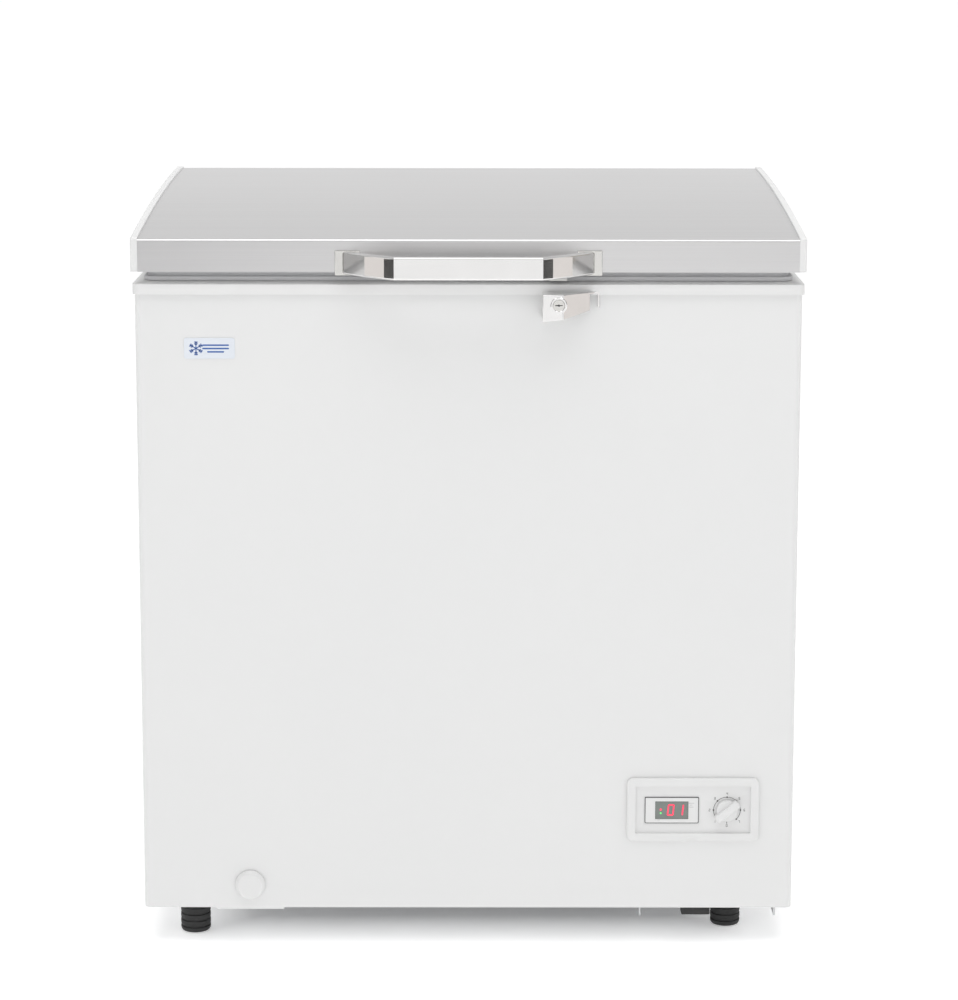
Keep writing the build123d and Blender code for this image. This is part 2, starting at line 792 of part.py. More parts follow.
def lock_cylinder():
    """Key cylinder with its keyway."""
    radius = barrel_radius - barrel_wall - cylinder_gap
    plug = rod_y(lock_x, -lock_reach - barrel_proud + 0.6, cam_front, lock_z, radius)
    return plug - block(lock_x - 3.6, lock_x + 3.6, -lock_reach - barrel_proud, -lock_reach + 14,
                        lock_z - 0.9, lock_z + 0.9)


def lock_cam():
    """Hooked plate on the cylinder; it lies to the right when unlocked and swings up over the keeper."""
    cam = rod_y(lock_x, cam_front, cam_back, lock_z, cam_half_width)
    cam += block(lock_x, lock_x + cam_reach, cam_front, cam_back, lock_z - cam_half_width,
                 lock_z + cam_half_width)
    slot_half = keeper_pin_radius + keeper_slot_gap
    ring = rod_y(lock_x, cam_front - 1, cam_back + 1, lock_z, cam_slot_radius + slot_half)
    ring -= rod_y(lock_x, cam_front - 2, cam_back + 2, lock_z, cam_slot_radius - slot_half)
    reach = cam_slot_radius + slot_half + 1
    cam -= ring & block(lock_x, lock_x + reach, cam_front - 1, cam_back + 1, lock_z, lock_z + cam_half_width + 1)
    return cam - rod_y(lock_x + cam_slot_radius, cam_front - 1, cam_back + 1, lock_z, slot_half)


def lock_keeper():
    """Bracket under the lid's front edge with the pin that the cam hooks over."""
    pin_z = lock_z + cam_slot_radius
    back = -trim_front_overhang + 2.5
    plate = block(lock_x - keeper_width / 2, lock_x + keeper_width / 2, -trim_front_overhang, back,
                  pin_z - 3, lid_bottom)
    return plate + rod_y(lock_x, cam_front - 0.4, back, pin_z, keeper_pin_radius)


# ---- lid ----
def lid_section(inset, bottom, raised=0.0):
    """Side outline of the lid: upright front, long arched top and a rounded rear edge."""
    front = lid_front + inset
    rear = lid_rear - inset
    front_top = lid_bottom + lid_front_height - inset + raised
    rear_top = front_top + lid_rear_rise
    edge = max(lid_front_edge_radius - inset, 0.5)
    back_edge = lid_rear_edge_radius - inset
    run, rise = rear - front, rear_top - front_top
    chord = hypot(run, rise)
    bulge = lid_arch_radius - (lid_arch_radius ** 2 - chord ** 2 / 4) ** 0.5
    crown = (0, (front + rear) / 2 - bulge * rise / chord, (front_top + rear_top) / 2 + bulge * run / chord)
    arch = ThreePointArc((0, front, front_top), crown, (0, rear, rear_top))
    outline = [Line((0, front, bottom), (0, front, front_top)), arch,
               Line((0, rear, rear_top), (0, rear, bottom)), Line((0, rear, bottom), (0, front, bottom))]
    face = make_face(outline)
    corners = face.vertices().sort_by(Axis.Z)[2:].sort_by(Axis.Y)
    face = fillet(corners[0], edge)
    corners = face.vertices().sort_by(Axis.Z)
    rear_corner = corners[-1]
    return fillet(rear_corner, back_edge)


def lid_bar(x0, x1, inset, bottom, raised=0.0):
    """The lid's section carried across between two places."""
    return extrude(Pos(x0, 0, 0) * lid_section(inset, bottom, raised), x1 - x0, dir=(1, 0, 0))


def lid_skin():
    """Brushed stainless sheet folded over the lid, with a flange under its front and rear edges."""
    skin = lid_bar(-steel_half, steel_half, 0, lid_bottom)
    skin -= lid_bar(-steel_half - 1, steel_half + 1, sheet, lid_bottom - 1)
    for y0, y1 in ((lid_front, lid_front + lid_flange), (lid_rear - lid_flange, lid_rear)):
        skin += block(-steel_half, steel_half, y0, y1, lid_bottom, lid_bottom + sheet)
    for x in handle_screw_places():
        skin -= rod_y(x, lid_front - 1, lid_front + 2, handle_z, handle_screw_radius)
    return skin


def lid_end_cap(side):
    """Moulded end of the lid, standing a little above the sheet, with a spigot inside it."""
    x0, x1 = (steel_half, lid_half) if side > 0 else (-lid_half, -steel_half)
    cap = lid_bar(x0, x1, 0, lid_bottom, cap_proud)
    outer = cap.faces().sort_by(Axis.X)[-1 if side > 0 else 0]
    cap = fillet(outer.edges().filter_by(lambda e: e.center().Z > lid_bottom + 1), 2.0)
    s0, s1 = (steel_half - cap_spigot, steel_half) if side > 0 else (-steel_half, -steel_half + cap_spigot)
    return cap + lid_bar(s0, s1, sheet + 0.2, lid_bottom + lid_liner_thickness + sheet)


def lid_liner():
    """White inner sheet of the lid with a shallow pan that sits in the tub mouth."""
    half = steel_half - 0.2
    liner = block(-half, half, lid_front + sheet + 0.2, lid_rear - sheet - 0.2, lid_bottom + sheet,
                  lid_bottom + sheet + lid_liner_thickness)
    opening = lid_flange + 0.5
    liner += block(-half, half, lid_front + opening, lid_rear - opening, lid_bottom, lid_bottom + sheet)
    inset = skirt_thickness + skirt_gap + pan_margin
    top = lid_bottom + sheet + lid_liner_thickness
    pan = [-tub_half + inset, tub_half - inset, tub_front + inset, tub_rear - inset]
    liner += slab(*pan, lid_bottom - pan_depth, top, tub_corner_radius)
    thick = lid_liner_thickness
    return liner - slab(pan[0] + thick, pan[1] - thick, pan[2] + thick, pan[3] - thick,
                        lid_bottom - pan_depth + thick, top + 1, tub_corner_radius - thick)


def lid_foam():
    """Rigid foam between the lid's skin and its inner sheet."""
    half = steel_half - cap_spigot
    top = lid_bottom + sheet + lid_liner_thickness
    inset = skirt_thickness + skirt_gap + pan_margin + lid_liner_thickness
    foam = lid_bar(-half, half, sheet, top)
    foam += slab(-tub_half + inset, tub_half - inset, tub_front + inset, tub_rear - inset,
                 lid_bottom - pan_depth + lid_liner_thickness, top, tub_corner_radius - lid_liner_thickness)
    for x in handle_screw_places():
        foam -= rod_y(x, lid_front, lid_front + handle_screw_length, handle_z, handle_screw_radius + 2.6)
    return foam


def lid_gasket():
    """Magnetic seal round the lid: a root, a narrow web and a wide foot."""
    def ring(width, z0, z1):
        spare = (gasket_width - width) / 2
        side = half_width + trim_side_overhang - gasket_setback - spare
        front = -trim_front_overhang + gasket_setback + spare
        rear = cabinet_depth + trim_front_overhang - gasket_setback - spare
        outer = slab(-side, side, front, rear, z0, z1, 14)
        return outer - slab(-side + width, side - width, front + width, rear - width, z0 - 1, z1 + 1, 6)

    low = trim_top + gasket_clearance
    return (ring(gasket_width, low, low + 5) + ring(gasket_width / 2, low + 5, low + 8.2)
            + ring(gasket_width * 0.8, low + 8.2, lid_bottom))


# ---- handle ----
def handle_outline():
    """Outer corners of the handle seen from above, from the left end to the right."""
    half = handle_straight / 2
    left = [(-half - out, lid_front - depth) for out, depth in reversed(handle_leg_offsets)]
    left.append((-half, handle_front))
    return left + [(-x, y) for x, y in reversed(left)]


def handle_bar():
    """Bridge bar of constant section, bent in steps towards its two ends."""
    outer = handle_outline()
    face = make_face(Polyline(*[(x, y, 0) for x, y in outer], close=True))
    cutter = offset(face, -handle_thickness, kind=Kind.INTERSECTION)
    bar = extrude(Pos(0, 0, handle_z - handle_height / 2) * face, handle_height, dir=(0, 0, 1))
    hollow = extrude(Pos(0, 0, handle_z - handle_height) * cutter, 2 * handle_height, dir=(0, 0, 1))
    half = handle_straight / 2 + handle_leg_offsets[-1][0]
    leg = handle_thickness * 1.5
    hollow += block(-half + leg, half - leg, lid_front - handle_thickness - 1, lid_front + 1,
                    handle_z - handle_height, handle_z + handle_height)
    bar -= hollow
    bends = bar.edges().filter_by(Axis.Z).filter_by(lambda e: e.center().Y < lid_front - 20)
    bar = fillet(bends, handle_bend_radius * 0.5)
    bar = chamfer(bar.faces().filter_by(Axis.Z).edges().filter_by(lambda e: front_edge(e)), handle_edge_radius / 2)
    return bar - block(-half - 1, half + 1, lid_front - handle_pad_thickness, lid_front + 1,
                       handle_z - handle_height, handle_z + handle_height)


def front_edge(edge):
    """Whether an edge lies on the outer face of the straight middle of the handle."""
    return edge.center().Y < handle_front + 0.1


def handle_screw_places():
    """The handle's fixing screws, one in each pad."""
    inside = handle_straight / 2 + handle_leg_offsets[-1][0] - handle_pad_width / 2
    return (-inside, inside)


def handle_pads():
    """Flat end pads between the handle and the lid."""
    edge = handle_straight / 2 + handle_leg_offsets[-1][0] + 9.0
    pads = []
    for side in (-1, 1):
        x = side * (edge - (handle_pad_width + 12) / 2)
        pad = plate_y(x, handle_z, handle_pad_width + 12, handle_pad_height, 2.0, lid_front - handle_pad_thickness,
                      lid_front)
        pads.append(pad - rod_y(side * handle_screw_places()[1], lid_front - 9, lid_front + 1, handle_z,
                                handle_screw_radius))
    return group(pads)


def handle_screws():
    """Screws through the lid's skin into the handle."""
    return group([rod_y(x, lid_front - handle_pad_thickness, lid_front + handle_screw_length - 1, handle_z,
                        handle_screw_radius - 0.02)
                  + rod_y(x, lid_front + sheet, lid_front + sheet + 3, handle_z, handle_screw_radius + 2.4)
                  for x in handle_screw_places()])


# ---- hinges ----
def hinge_base(x):
    """Pressed channel on the back panel, with two ears that hold the pin."""
    half = hinge_base_width / 2
    top = panel_top - 6
    low = top - hinge_base_height
    web = block(x - half, x + half, cabinet_depth, cabinet_depth + hinge_plate, low, top)
    clear = cabinet_depth + trim_front_overhang + 2
    ear = [(cabinet_depth, low + 20), (cabinet_depth + 8, low + 20), (hinge_y + hinge_knuckle_radius, top - 10),
           (hinge_y + hinge_knuckle_radius, hinge_z), (max(clear, hinge_y - hinge_knuckle_radius), hinge_z),
           (max(clear, hinge_y - hinge_knuckle_radius), top), (cabinet_depth, top)]
    base = web
    for x0 in (x - half, x + half - hinge_plate):
        base += profile_x(ear, x0, x0 + hinge_plate)
        base += rod_x(x0, x0 + hinge_plate, hinge_y, hinge_z, hinge_knuckle_radius)
    return base - rod_x(x - half - 1, x + half + 1, hinge_y, hinge_z, hinge_pin_radius)


def hinge_leaf(x):
    """Bracket on the lid's rear face, with two ears that turn on the pin."""
    half = hinge_leaf_width / 2
    low = hinge_z + 4
    leaf = block(x - half, x + half, lid_rear, lid_rear + hinge_plate, low, low + hinge_leaf_height)
    ear_radius = hinge_knuckle_radius - 2
    ear = [(lid_rear, low), (lid_rear, low + 26), (lid_rear + hinge_plate, low + 26),
           (hinge_y + ear_radius, hinge_z), (hinge_y - ear_radius, hinge_z)]
    for x0 in (x - half, x + half - hinge_plate):
        leaf += profile_x(ear, x0, x0 + hinge_plate)
        leaf += rod_x(x0, x0 + hinge_plate, hinge_y, hinge_z, ear_radius)
    return leaf - rod_x(x - half - 1, x + half + 1, hinge_y, hinge_z, hinge_pin_radius + hinge_running_gap)


def hinge_pin(x):
    """Headed pin through one hinge."""
    half = hinge_base_width / 2
    pin = rod_x(x - half - 2, x + half + 2, hinge_y, hinge_z, hinge_pin_radius)
    return pin + rod_x(x + half, x + half + 2.5, hinge_y, hinge_z, hinge_pin_radius + 2)


def hinge_spring(x):
    """Balance spring wound round the pin."""
    length = spring_turns * spring_wire * 1.5
    coil = Helix(spring_wire * 1.5, length, spring_radius)
    section = Plane(origin=coil @ 0, z_dir=coil % 0) * Circle(spring_wire / 2)
    return Pos(x - length / 2, hinge_y, hinge_z) * Rot(0, 90, 0) * sweep(section, path=coil, is_frenet=True)


def pan_screw_y(x, y, z):
    """Domed screw head on a face that looks backwards."""
    head = rod_y(x, y, y + 2.4, z, 4.5)
    head = fillet(head.edges().filter_by(GeomType.CIRCLE).sort_by(Axis.Y)[-1], 1.8)
    return head - block(x - 3, x + 3, y + 1.6, y + 3, z - 0.6, z + 0.6)


def hinge_places():
    """Centres of the two hinges."""
    return (hinge_from_side - half_width, half_width - hinge_from_side)


def hinge_base_screws():
    """Screws that hold the hinge bases."""
    low = panel_top - 6 - hinge_base_height
    return group([pan_screw_y(x + dx, cabinet_depth + hinge_plate, low + dz)
                  for x in hinge_places() for dx in (-14, 14) for dz in (12, 60)])


def hinge_leaf_screws():
    """Screws that hold the hinge leaves."""
    return group([pan_screw_y(x + dx, lid_rear + hinge_plate, hinge_z + 42) for x in hinge_places()
                  for dx in (-12, 12)])


def grille_screws():
    """Screws in the corners of the rear grille."""
    reach = rear_grille_width / 2 - 8
    rise = rear_grille_height / 2 - 8
    return group([pan_screw_y(rear_grille_x() + sx * reach, cabinet_depth + grille_thickness,
                              rear_grille_z() + sz * rise) for sx in (-1, 1) for sz in (-1, 1)])


def cord_gland():
    """Grommet in the back panel where the mains lead comes out."""
    x = bay_left - 24
    z = panel_bottom + 40
    body = rod_y(x, cabinet_depth, cabinet_depth + 8, z, 9) + rod_y(x, cabinet_depth, cabinet_depth + 14, z, 6)
    return body - rod_y(x, cabinet_depth - 1, cabinet_depth + 15, z, 3.6)


# ---- basket ----
def basket_box():
    """Outer box of the hanging basket: x0, x1, y0, y1, z0, z1."""
    inset = skirt_thickness + skirt_gap
    left = -tub_half + basket_from_left
    low = trim_top - ledge_drop - basket_height
    return (left, left + basket_width, tub_front + inset + basket_side_gap,
            tub_rear - inset - basket_side_gap, low, trim_top - ledge_drop)


def hanging_basket():
    """Open basket that hangs on the ledges and slides along them: a floor, four walls and four hooks."""
    x0, x1, y0, y1, z0, z1 = basket_box()
    t = basket_wall
    hook = basket_side_gap + ledge_width - 5
    rim_low = z1 + 0.4
    rim_top = rim_low + basket_rim
    pieces = [block(x0, x1, y0, y1, z0, z0 + t)]
    for xa, xb in ((x0, x0 + t), (x1 - t, x1)):
        pieces.append(block(xa, xb, y0, y1, z0 + t, rim_top))
    for ya, yb in ((y0, y0 + t), (y1 - t, y1)):
        pieces.append(block(x0 + t, x1 - t, ya, yb, z0 + t, rim_top))
    for x in (x0 + 30, x1 - 30):
        for ya, yb in ((y0 - hook, y0), (y1, y1 + hook)):
            pieces.append(block(x - 12, x + 12, ya, yb, rim_low, rim_top))
    return group(pieces)


# ---- everything ----
def parts():
    """Every node by name."""
    nodes = {
        "cabinet_shell": cabinet_shell(),
        "rear_panel": rear_panel(),
        "bottom_plate": bottom_plate(),
        "machine_bay_wall": bay_wall(),
        "inner_liner": inner_liner(),
        "cabinet_foam": cabinet_foam(),
        "evaporator_coil": tube(evaporator_route(), evaporator_tube_radius, tube_bend_radius),
        "condenser_coil": tube(condenser_route(), condenser_tube_radius, tube_bend_radius),
        "compressor": compressor(),
        "compressor_grommets": compressor_grommets(),
        "compressor_bolts": compressor_bolts(),
        "compressor_base_plate": compressor_base_plate(),
        "base_plate_stop": base_plate_block(),
        "relay_cover": relay_cover(),
        "filter_drier": filter_drier(),
        "rear_grille": rear_grille(),
        "rear_grille_screws": grille_screws(),
        "side_grille": side_grille(),
        "cord_gland": cord_gland(),
        "drain_tube": drain_tube(),
        "drain_cap": drain_cap(),
        "drain_plug": drain_plug(),
        "foot_nuts": foot_nuts(),
        "control_bezel": control_bezel(),
        "display_module": display_module(),
        "display_lens": display_lens(),
        "thermostat_body": thermostat_body(),
        "thermostat_knob": thermostat_knob(),
        "badge": badge(),
        "lock_housing": lock_housing(),
        "lock_barrel": lock_barrel(),
        "lock_cylinder": lock_cylinder(),
        "lock_cam": lock_cam(),
        "lock_keeper": lock_keeper(),
        "lid_skin": lid_skin(),
        "lid_end_cap_left": lid_end_cap(-1),
        "lid_end_cap_right": lid_end_cap(1),
        "lid_inner_liner": lid_liner(),
        "lid_foam": lid_foam(),
        "lid_gasket": lid_gasket(),
        "handle_bar": handle_bar(),
        "handle_pads": handle_pads(),
        "handle_screws": handle_screws(),
        "hinge_base_screws": hinge_base_screws(),
        "hinge_leaf_screws": hinge_leaf_screws(),
        "hinge_springs": group([hinge_spring(x) for x in hinge_places()]),
        "hanging_basket": hanging_basket(),
    }
    nodes.update(trim_rails())
    for side, x in zip(("left", "right"), hinge_places()):
        nodes[f"hinge_base_{side}"] = hinge_base(x)
        nodes[f"hinge_leaf_{side}"] = hinge_leaf(x)
    nodes["hinge_pins"] = group([hinge_pin(x) for x in hinge_places()])
    for name, (x, y) in zip(("front_left", "front_right", "rear_left", "rear_right"), foot_places()):
        nodes[f"foot_{name}"] = foot(x, y)
    return nodes


def write_parts():
    """Centre the whole object and write each node to its own file."""
    os.makedirs("parts", exist_ok=True)
    for name, shape in parts().items():
        export_step(Pos(0, row_shift, 0) * shape, f"parts/{name}.step")


write_parts()
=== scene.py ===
"""Chest freezer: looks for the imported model. Metres, X to the right, Y to the back, Z up from the floor."""

import json
import math

import bmesh
import bpy
from mathutils import Matrix, Vector


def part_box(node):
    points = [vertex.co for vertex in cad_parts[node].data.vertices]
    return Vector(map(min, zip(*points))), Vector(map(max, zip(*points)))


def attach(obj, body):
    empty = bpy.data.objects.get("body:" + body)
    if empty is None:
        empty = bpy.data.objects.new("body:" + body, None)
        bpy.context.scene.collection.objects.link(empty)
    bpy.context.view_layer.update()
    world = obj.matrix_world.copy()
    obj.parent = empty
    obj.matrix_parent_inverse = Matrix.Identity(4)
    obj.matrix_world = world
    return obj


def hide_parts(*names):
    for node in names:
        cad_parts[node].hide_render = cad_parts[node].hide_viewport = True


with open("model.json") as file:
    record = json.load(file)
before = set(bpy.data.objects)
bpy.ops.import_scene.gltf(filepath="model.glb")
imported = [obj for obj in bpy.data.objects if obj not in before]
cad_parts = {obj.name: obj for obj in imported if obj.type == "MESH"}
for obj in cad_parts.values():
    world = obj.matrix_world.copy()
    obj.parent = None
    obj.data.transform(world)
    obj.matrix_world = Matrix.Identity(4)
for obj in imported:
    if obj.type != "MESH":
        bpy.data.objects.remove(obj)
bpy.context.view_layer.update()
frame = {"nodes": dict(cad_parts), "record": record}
MM = 0.001

# Faces above this area are flat sides: a fold of more degrees than this between two of them stays crisp.
BROAD_FACE = 60 * MM * MM
BROAD_FOLD = 3.0

# ------------------------------------------------------------------ shader tools


class Value:
    """A shader socket that Python sums can be written with."""

    def __init__(self, finish, socket):
        self.finish = finish
        self.socket = socket

    def maths(self, operation, first, second=0.0):
        return self.finish.node("ShaderNodeMath", {"operation": operation}, {0: first, 1: second})

    def __add__(self, other):
        return self.maths("ADD", self, other)

    def __sub__(self, other):
        return self.maths("SUBTRACT", self, other)

    def __mul__(self, other):
        return self.maths("MULTIPLY", self, other)

    def __abs__(self):
        return self.maths("ABSOLUTE", self)


class Graph:
    """Nodes added to a tree."""

    def __init__(self, tree):
        self.tree = tree

    def node(self, kind, settings=None, sockets=None, output=0):
        made = self.tree.nodes.new(kind)
        for key, value in (settings or {}).items():
            if key == "stops":
                for place, colour in value[1:-1]:
                    made.color_ramp.elements.new(place)
                for element, (place, colour) in zip(made.color_ramp.elements, value):
                    element.position = place
                    element.color = colour
            else:
                setattr(made, key, value)
        for key, value in (sockets or {}).items():
            self.join(value, made.inputs[key])
        return Value(self, made.outputs[output])

    def join(self, value, target):
        if isinstance(value, Value):
            self.tree.links.new(value.socket, target)
        else:
            target.default_value = value

    def spread(self, value, low, high, start=0.0, end=1.0):
        """A start to end value carried to the range low to high."""
        return self.node("ShaderNodeMapRange", {}, {"Value": value, "From Min": start, "From Max": end,
                                                    "To Min": low, "To Max": high})

    def parts(self, vector, axes):
        """The named parts of a vector."""
        split = self.node("ShaderNodeSeparateXYZ", {}, {"Vector": vector}).socket.node
        return [Value(self, split.outputs[axis]) for axis in axes]

    def larger(self, first, second):
        return self.node("ShaderNodeMath", {"operation": "MAXIMUM"}, {0: first, 1: second})

    def ramp(self, value, stops):
        return self.node("ShaderNodeValToRGB", {"stops": stops}, {"Fac": value})

    def blend(self, factor, first, second):
        return self.node("ShaderNodeMix", {"data_type": "RGBA"}, {0: factor, 6: first, 7: second}, 2)


class Finish(Graph):
    """A material with one Principled shader."""

    def __init__(self, name, **constants):
        self.material = bpy.data.materials.new(name)
        self.material.use_nodes = True
        super().__init__(self.material.node_tree)
        self.shader = self.tree.nodes["Principled BSDF"]
        for key, value in constants.items():
            self.feed(key.replace("_", " "), value)

    def feed(self, name, value):
        self.join(value, self.shader.inputs[name])

    def place(self, stretch=(1.0, 1.0, 1.0)):
        """Place on the object, stretched."""
        where = self.node("ShaderNodeTexCoord", output="Object")
        return self.node("ShaderNodeMapping", {}, {"Vector": where, "Scale": stretch})

    def noise(self, scale, detail=2.0, stretch=(1.0, 1.0, 1.0)):
        return self.node("ShaderNodeTexNoise", {}, {"Vector": self.place(stretch), "Scale": scale,
                                                    "Detail": detail, "Roughness": 0.5})

    def cells(self, scale, output="Distance"):
        return self.node("ShaderNodeTexVoronoi", {}, {"Vector": self.place(), "Scale": scale}, output)

    def bump(self, height, distance, strength=1.0):
        self.feed("Normal", self.node("ShaderNodeBump", {}, {"Height": height, "Distance": distance,
                                                             "Strength": strength}))


def grey(level, tint=(1.0, 1.0, 1.0)):
    return (level * tint[0], level * tint[1], level * tint[2], 1.0)


def dimmed(colour, share):
    return tuple(share * c for c in colour[:3]) + (1.0,)


# ------------------------------------------------------------------ finishes


def painted_steel():
    f = Finish("painted_steel", IOR=1.5, Coat_Roughness=0.12, Coat_Weight=0.15)
    cloud = f.noise(3.0, 3.0)
    f.feed("Base Color", f.blend(cloud, grey(0.70, (0.995, 1.0, 1.0)), grey(0.72, (1.0, 1.0, 0.995))))
    f.feed("Roughness", f.spread(f.noise(40.0, 4.0), 0.34, 0.44))
    f.bump(f.noise(900.0, 2.0), 0.00004, 0.25)
    return f


def plastic(name, low, high, rough, grain=1600.0, depth=0.00002):
    f = Finish(name, IOR=1.48)
    f.feed("Base Color", f.blend(f.noise(12.0, 3.0), low, high))
    f.feed("Roughness", f.spread(f.noise(60.0, 3.0), rough - 0.05, rough + 0.07))
    f.bump(f.noise(grain, 2.0), depth, 0.4)
    return f


def brushed_stainless():
    """Streaks along X: stretched noise in the tone, the roughness and the height."""
    f = Finish("brushed_stainless")
    fine = f.noise(1.0, 3.0, (3.0, 1700.0, 1700.0))
    broad = f.noise(1.0, 2.0, (0.8, 160.0, 160.0))
    smudge = f.noise(4.0, 3.0)
    tone = fine * 0.55 + broad * 0.3 + smudge * 0.15
    f.feed("Metallic", f.spread(smudge, 0.96, 1.0))
    f.feed("Base Color", f.blend(tone, (0.54, 0.535, 0.54, 1.0), (0.72, 0.715, 0.712, 1.0)))
    f.feed("Roughness", f.spread(fine * 0.7 + smudge * 0.3, 0.25, 0.42))
    f.bump(fine, 0.00002, 0.35)
    return f


def metal(name, low, high, rough_low, rough_high, scale=30.0, metallic=1.0, depth=0.00001):
    f = Finish(name)
    smudge = f.noise(scale, 4.0)
    f.feed("Metallic", f.spread(smudge, metallic - 0.04, metallic))
    f.feed("Base Color", f.blend(smudge, low, high))
    f.feed("Roughness", f.spread(f.noise(scale * 4.0, 3.0), rough_low, rough_high))
    f.bump(f.noise(scale * 20.0, 2.0), depth, 0.2)
    return f


def galvanised_steel():
    f = Finish("galvanised_steel")
    spangle = f.cells(60.0, "Color")
    tone = f.node("ShaderNodeSeparateColor", {}, {"Color": spangle})
    f.feed("Metallic", f.spread(tone, 0.85, 0.95))
    f.feed("Base Color", f.blend(tone, grey(0.46, (0.98, 1.0, 1.02)), grey(0.66, (0.99, 1.0, 1.01))))
    f.feed("Roughness", f.spread(tone, 0.36, 0.55))
    f.bump(f.noise(400.0, 2.0), 0.00002, 0.3)
    return f


def embossed_liner():
    """White painted aluminium with a stucco emboss."""
    f = Finish("white_liner", IOR=1.5)
    stucco = f.cells(140.0)
    f.feed("Base Color", f.blend(stucco, grey(0.78), grey(0.86)))
    f.feed("Roughness", f.spread(f.noise(30.0), 0.35, 0.5))
    f.bump(stucco, 0.0004, 0.5)
    return f


def foam_finish():
    f = Finish("foam")
    pore = f.cells(420.0)
    f.feed("Base Color", f.blend(pore, (0.72, 0.62, 0.36, 1.0), (0.86, 0.78, 0.52, 1.0)))
    f.feed("Roughness", f.spread(pore, 0.8, 0.95))
    f.bump(pore, 0.0005, 0.6)
    return f


def spring_finish():
    f = Finish("spring_steel")
    smudge = f.noise(60.0, 3.0)
    f.feed("Metallic", f.spread(smudge, 0.9, 1.0))
    f.feed("Base Color", f.blend(smudge, grey(0.36), grey(0.5)))
    f.feed("Roughness", f.spread(smudge, 0.3, 0.45))
    f.bump(f.noise(700.0), 0.00002, 0.3)
    return f


def lens_finish():
    """Dark green-grey window that a little light comes through."""
    f = Finish("tinted_lens", IOR=1.5, Coat_Weight=0.3)
    haze = f.noise(90.0, 3.0)
    f.feed("Base Color", f.blend(haze, (0.150, 0.172, 0.158, 1.0), (0.190, 0.212, 0.198, 1.0)))
    f.feed("Roughness", f.spread(haze, 0.16, 0.26))
    f.bump(haze, 0.00001, 0.15)
    return f


def lit(name, colour, strength):
    f = Finish(name, Emission_Strength=strength)
    cloud = f.noise(600.0, 2.0)
    f.feed("Base Color", f.blend(cloud, colour, dimmed(colour, 0.9)))
    f.feed("Emission Color", f.blend(cloud, colour, dimmed(colour, 0.8)))
    f.feed("Roughness", f.spread(cloud, 0.3, 0.5))
    return f


white_paint = painted_steel()
white_plastic = plastic("white_plastic", grey(0.69, (1.0, 1.0, 0.995)), grey(0.715), 0.36)
steel = brushed_stainless()
chrome = metal("polished_chrome", grey(0.74, (1.0, 0.99, 0.98)), grey(0.82, (1.0, 0.992, 0.985)), 0.05, 0.12, 25.0)
satin = metal("satin_steel", grey(0.60, (1.0, 0.985, 0.95)), grey(0.70, (1.0, 0.985, 0.955)), 0.16, 0.28, 30.0)
galvanised = galvanised_steel()
liner_white = embossed_liner()
foam = foam_finish()
copper = metal("copper", (0.66, 0.33, 0.2, 1.0), (0.86, 0.47, 0.31, 1.0), 0.25, 0.42, 40.0)
black_steel = plastic("black_steel", grey(0.018), grey(0.034), 0.38, 900.0, 0.00004)
black_rubber = plastic("black_rubber", grey(0.014), grey(0.03), 0.62, 1500.0, 0.00005)
black_plastic = plastic("black_plastic", grey(0.016), grey(0.03), 0.45)
grey_rubber = plastic("grey_rubber", grey(0.50, (1.0, 1.0, 1.02)), grey(0.58, (1.0, 1.0, 1.02)), 0.6)
grey_plastic = plastic("dark_grey_plastic", grey(0.045, (1.0, 1.0, 1.05)), grey(0.075, (1.0, 1.0, 1.05)), 0.5)
lens = lens_finish()
label_paper = plastic("label", grey(0.70, (0.92, 0.97, 1.05)), grey(0.78, (0.94, 0.98, 1.04)), 0.3)
spring = spring_finish()
zinc = metal("zinc_fastener", grey(0.52, (1.0, 1.0, 0.96)), grey(0.68, (1.0, 1.0, 0.97)), 0.25, 0.4, 120.0)
wire_coat = plastic("coated_wire", grey(0.76), grey(0.84), 0.28)
label_blue = plastic("label_blue", (0.03, 0.10, 0.34, 1.0), (0.05, 0.14, 0.42, 1.0), 0.3)
label_ink = plastic("label_ink", grey(0.05), grey(0.09), 0.5)
label_faint = plastic("label_faint", grey(0.52), grey(0.60), 0.5)
red_light = lit("red_light", (0.80, 0.045, 0.10, 1.0), 0.9)
green_light = lit("green_light", (0.12, 0.62, 0.16, 1.0), 0.7)

by_slot = {"painted_steel": white_paint, "white_plastic": white_plastic, "brushed_stainless": steel,
           "polished_chrome": chrome, "galvanised_steel": galvanised, "white_liner": liner_white, "foam": foam,
           "copper": copper, "black_steel": black_steel, "black_rubber": black_rubber,
           "black_plastic": black_plastic, "grey_rubber": grey_rubber, "dark_grey_plastic": grey_plastic,
           "tinted_lens": lens, "label": label_paper, "spring_steel": spring, "zinc_fastener": zinc,
           "coated_wire": wire_coat}
node_slot = {part["node"]: part["material_slot"] for part in frame["record"]["subparts"]}

for node_name, thing in frame["nodes"].items():
    finish = by_slot[node_slot[node_name]].material
    if thing.data.materials:
        for place in range(len(thing.data.materials)):
            thing.data.materials[place] = finish
    else:
        thing.data.materials.append(finish)

# ------------------------------------------------------------------ mesh tools


def put(name, mesh, finish, body, slot_name, *stands_for):
    """A mesh becomes a piece on a body, standing for the named CAD nodes."""
    thing = bpy.data.objects.new(name, mesh)
    bpy.context.scene.collection.objects.link(thing)
    mesh.materials.append(finish.material)
    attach(thing, body)
    if stands_for:
        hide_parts(*stands_for)
    weighted = thing.modifiers.new("weighted", "WEIGHTED_NORMAL")
    weighted.weight = 100
    weighted.keep_sharp = True
    return thing


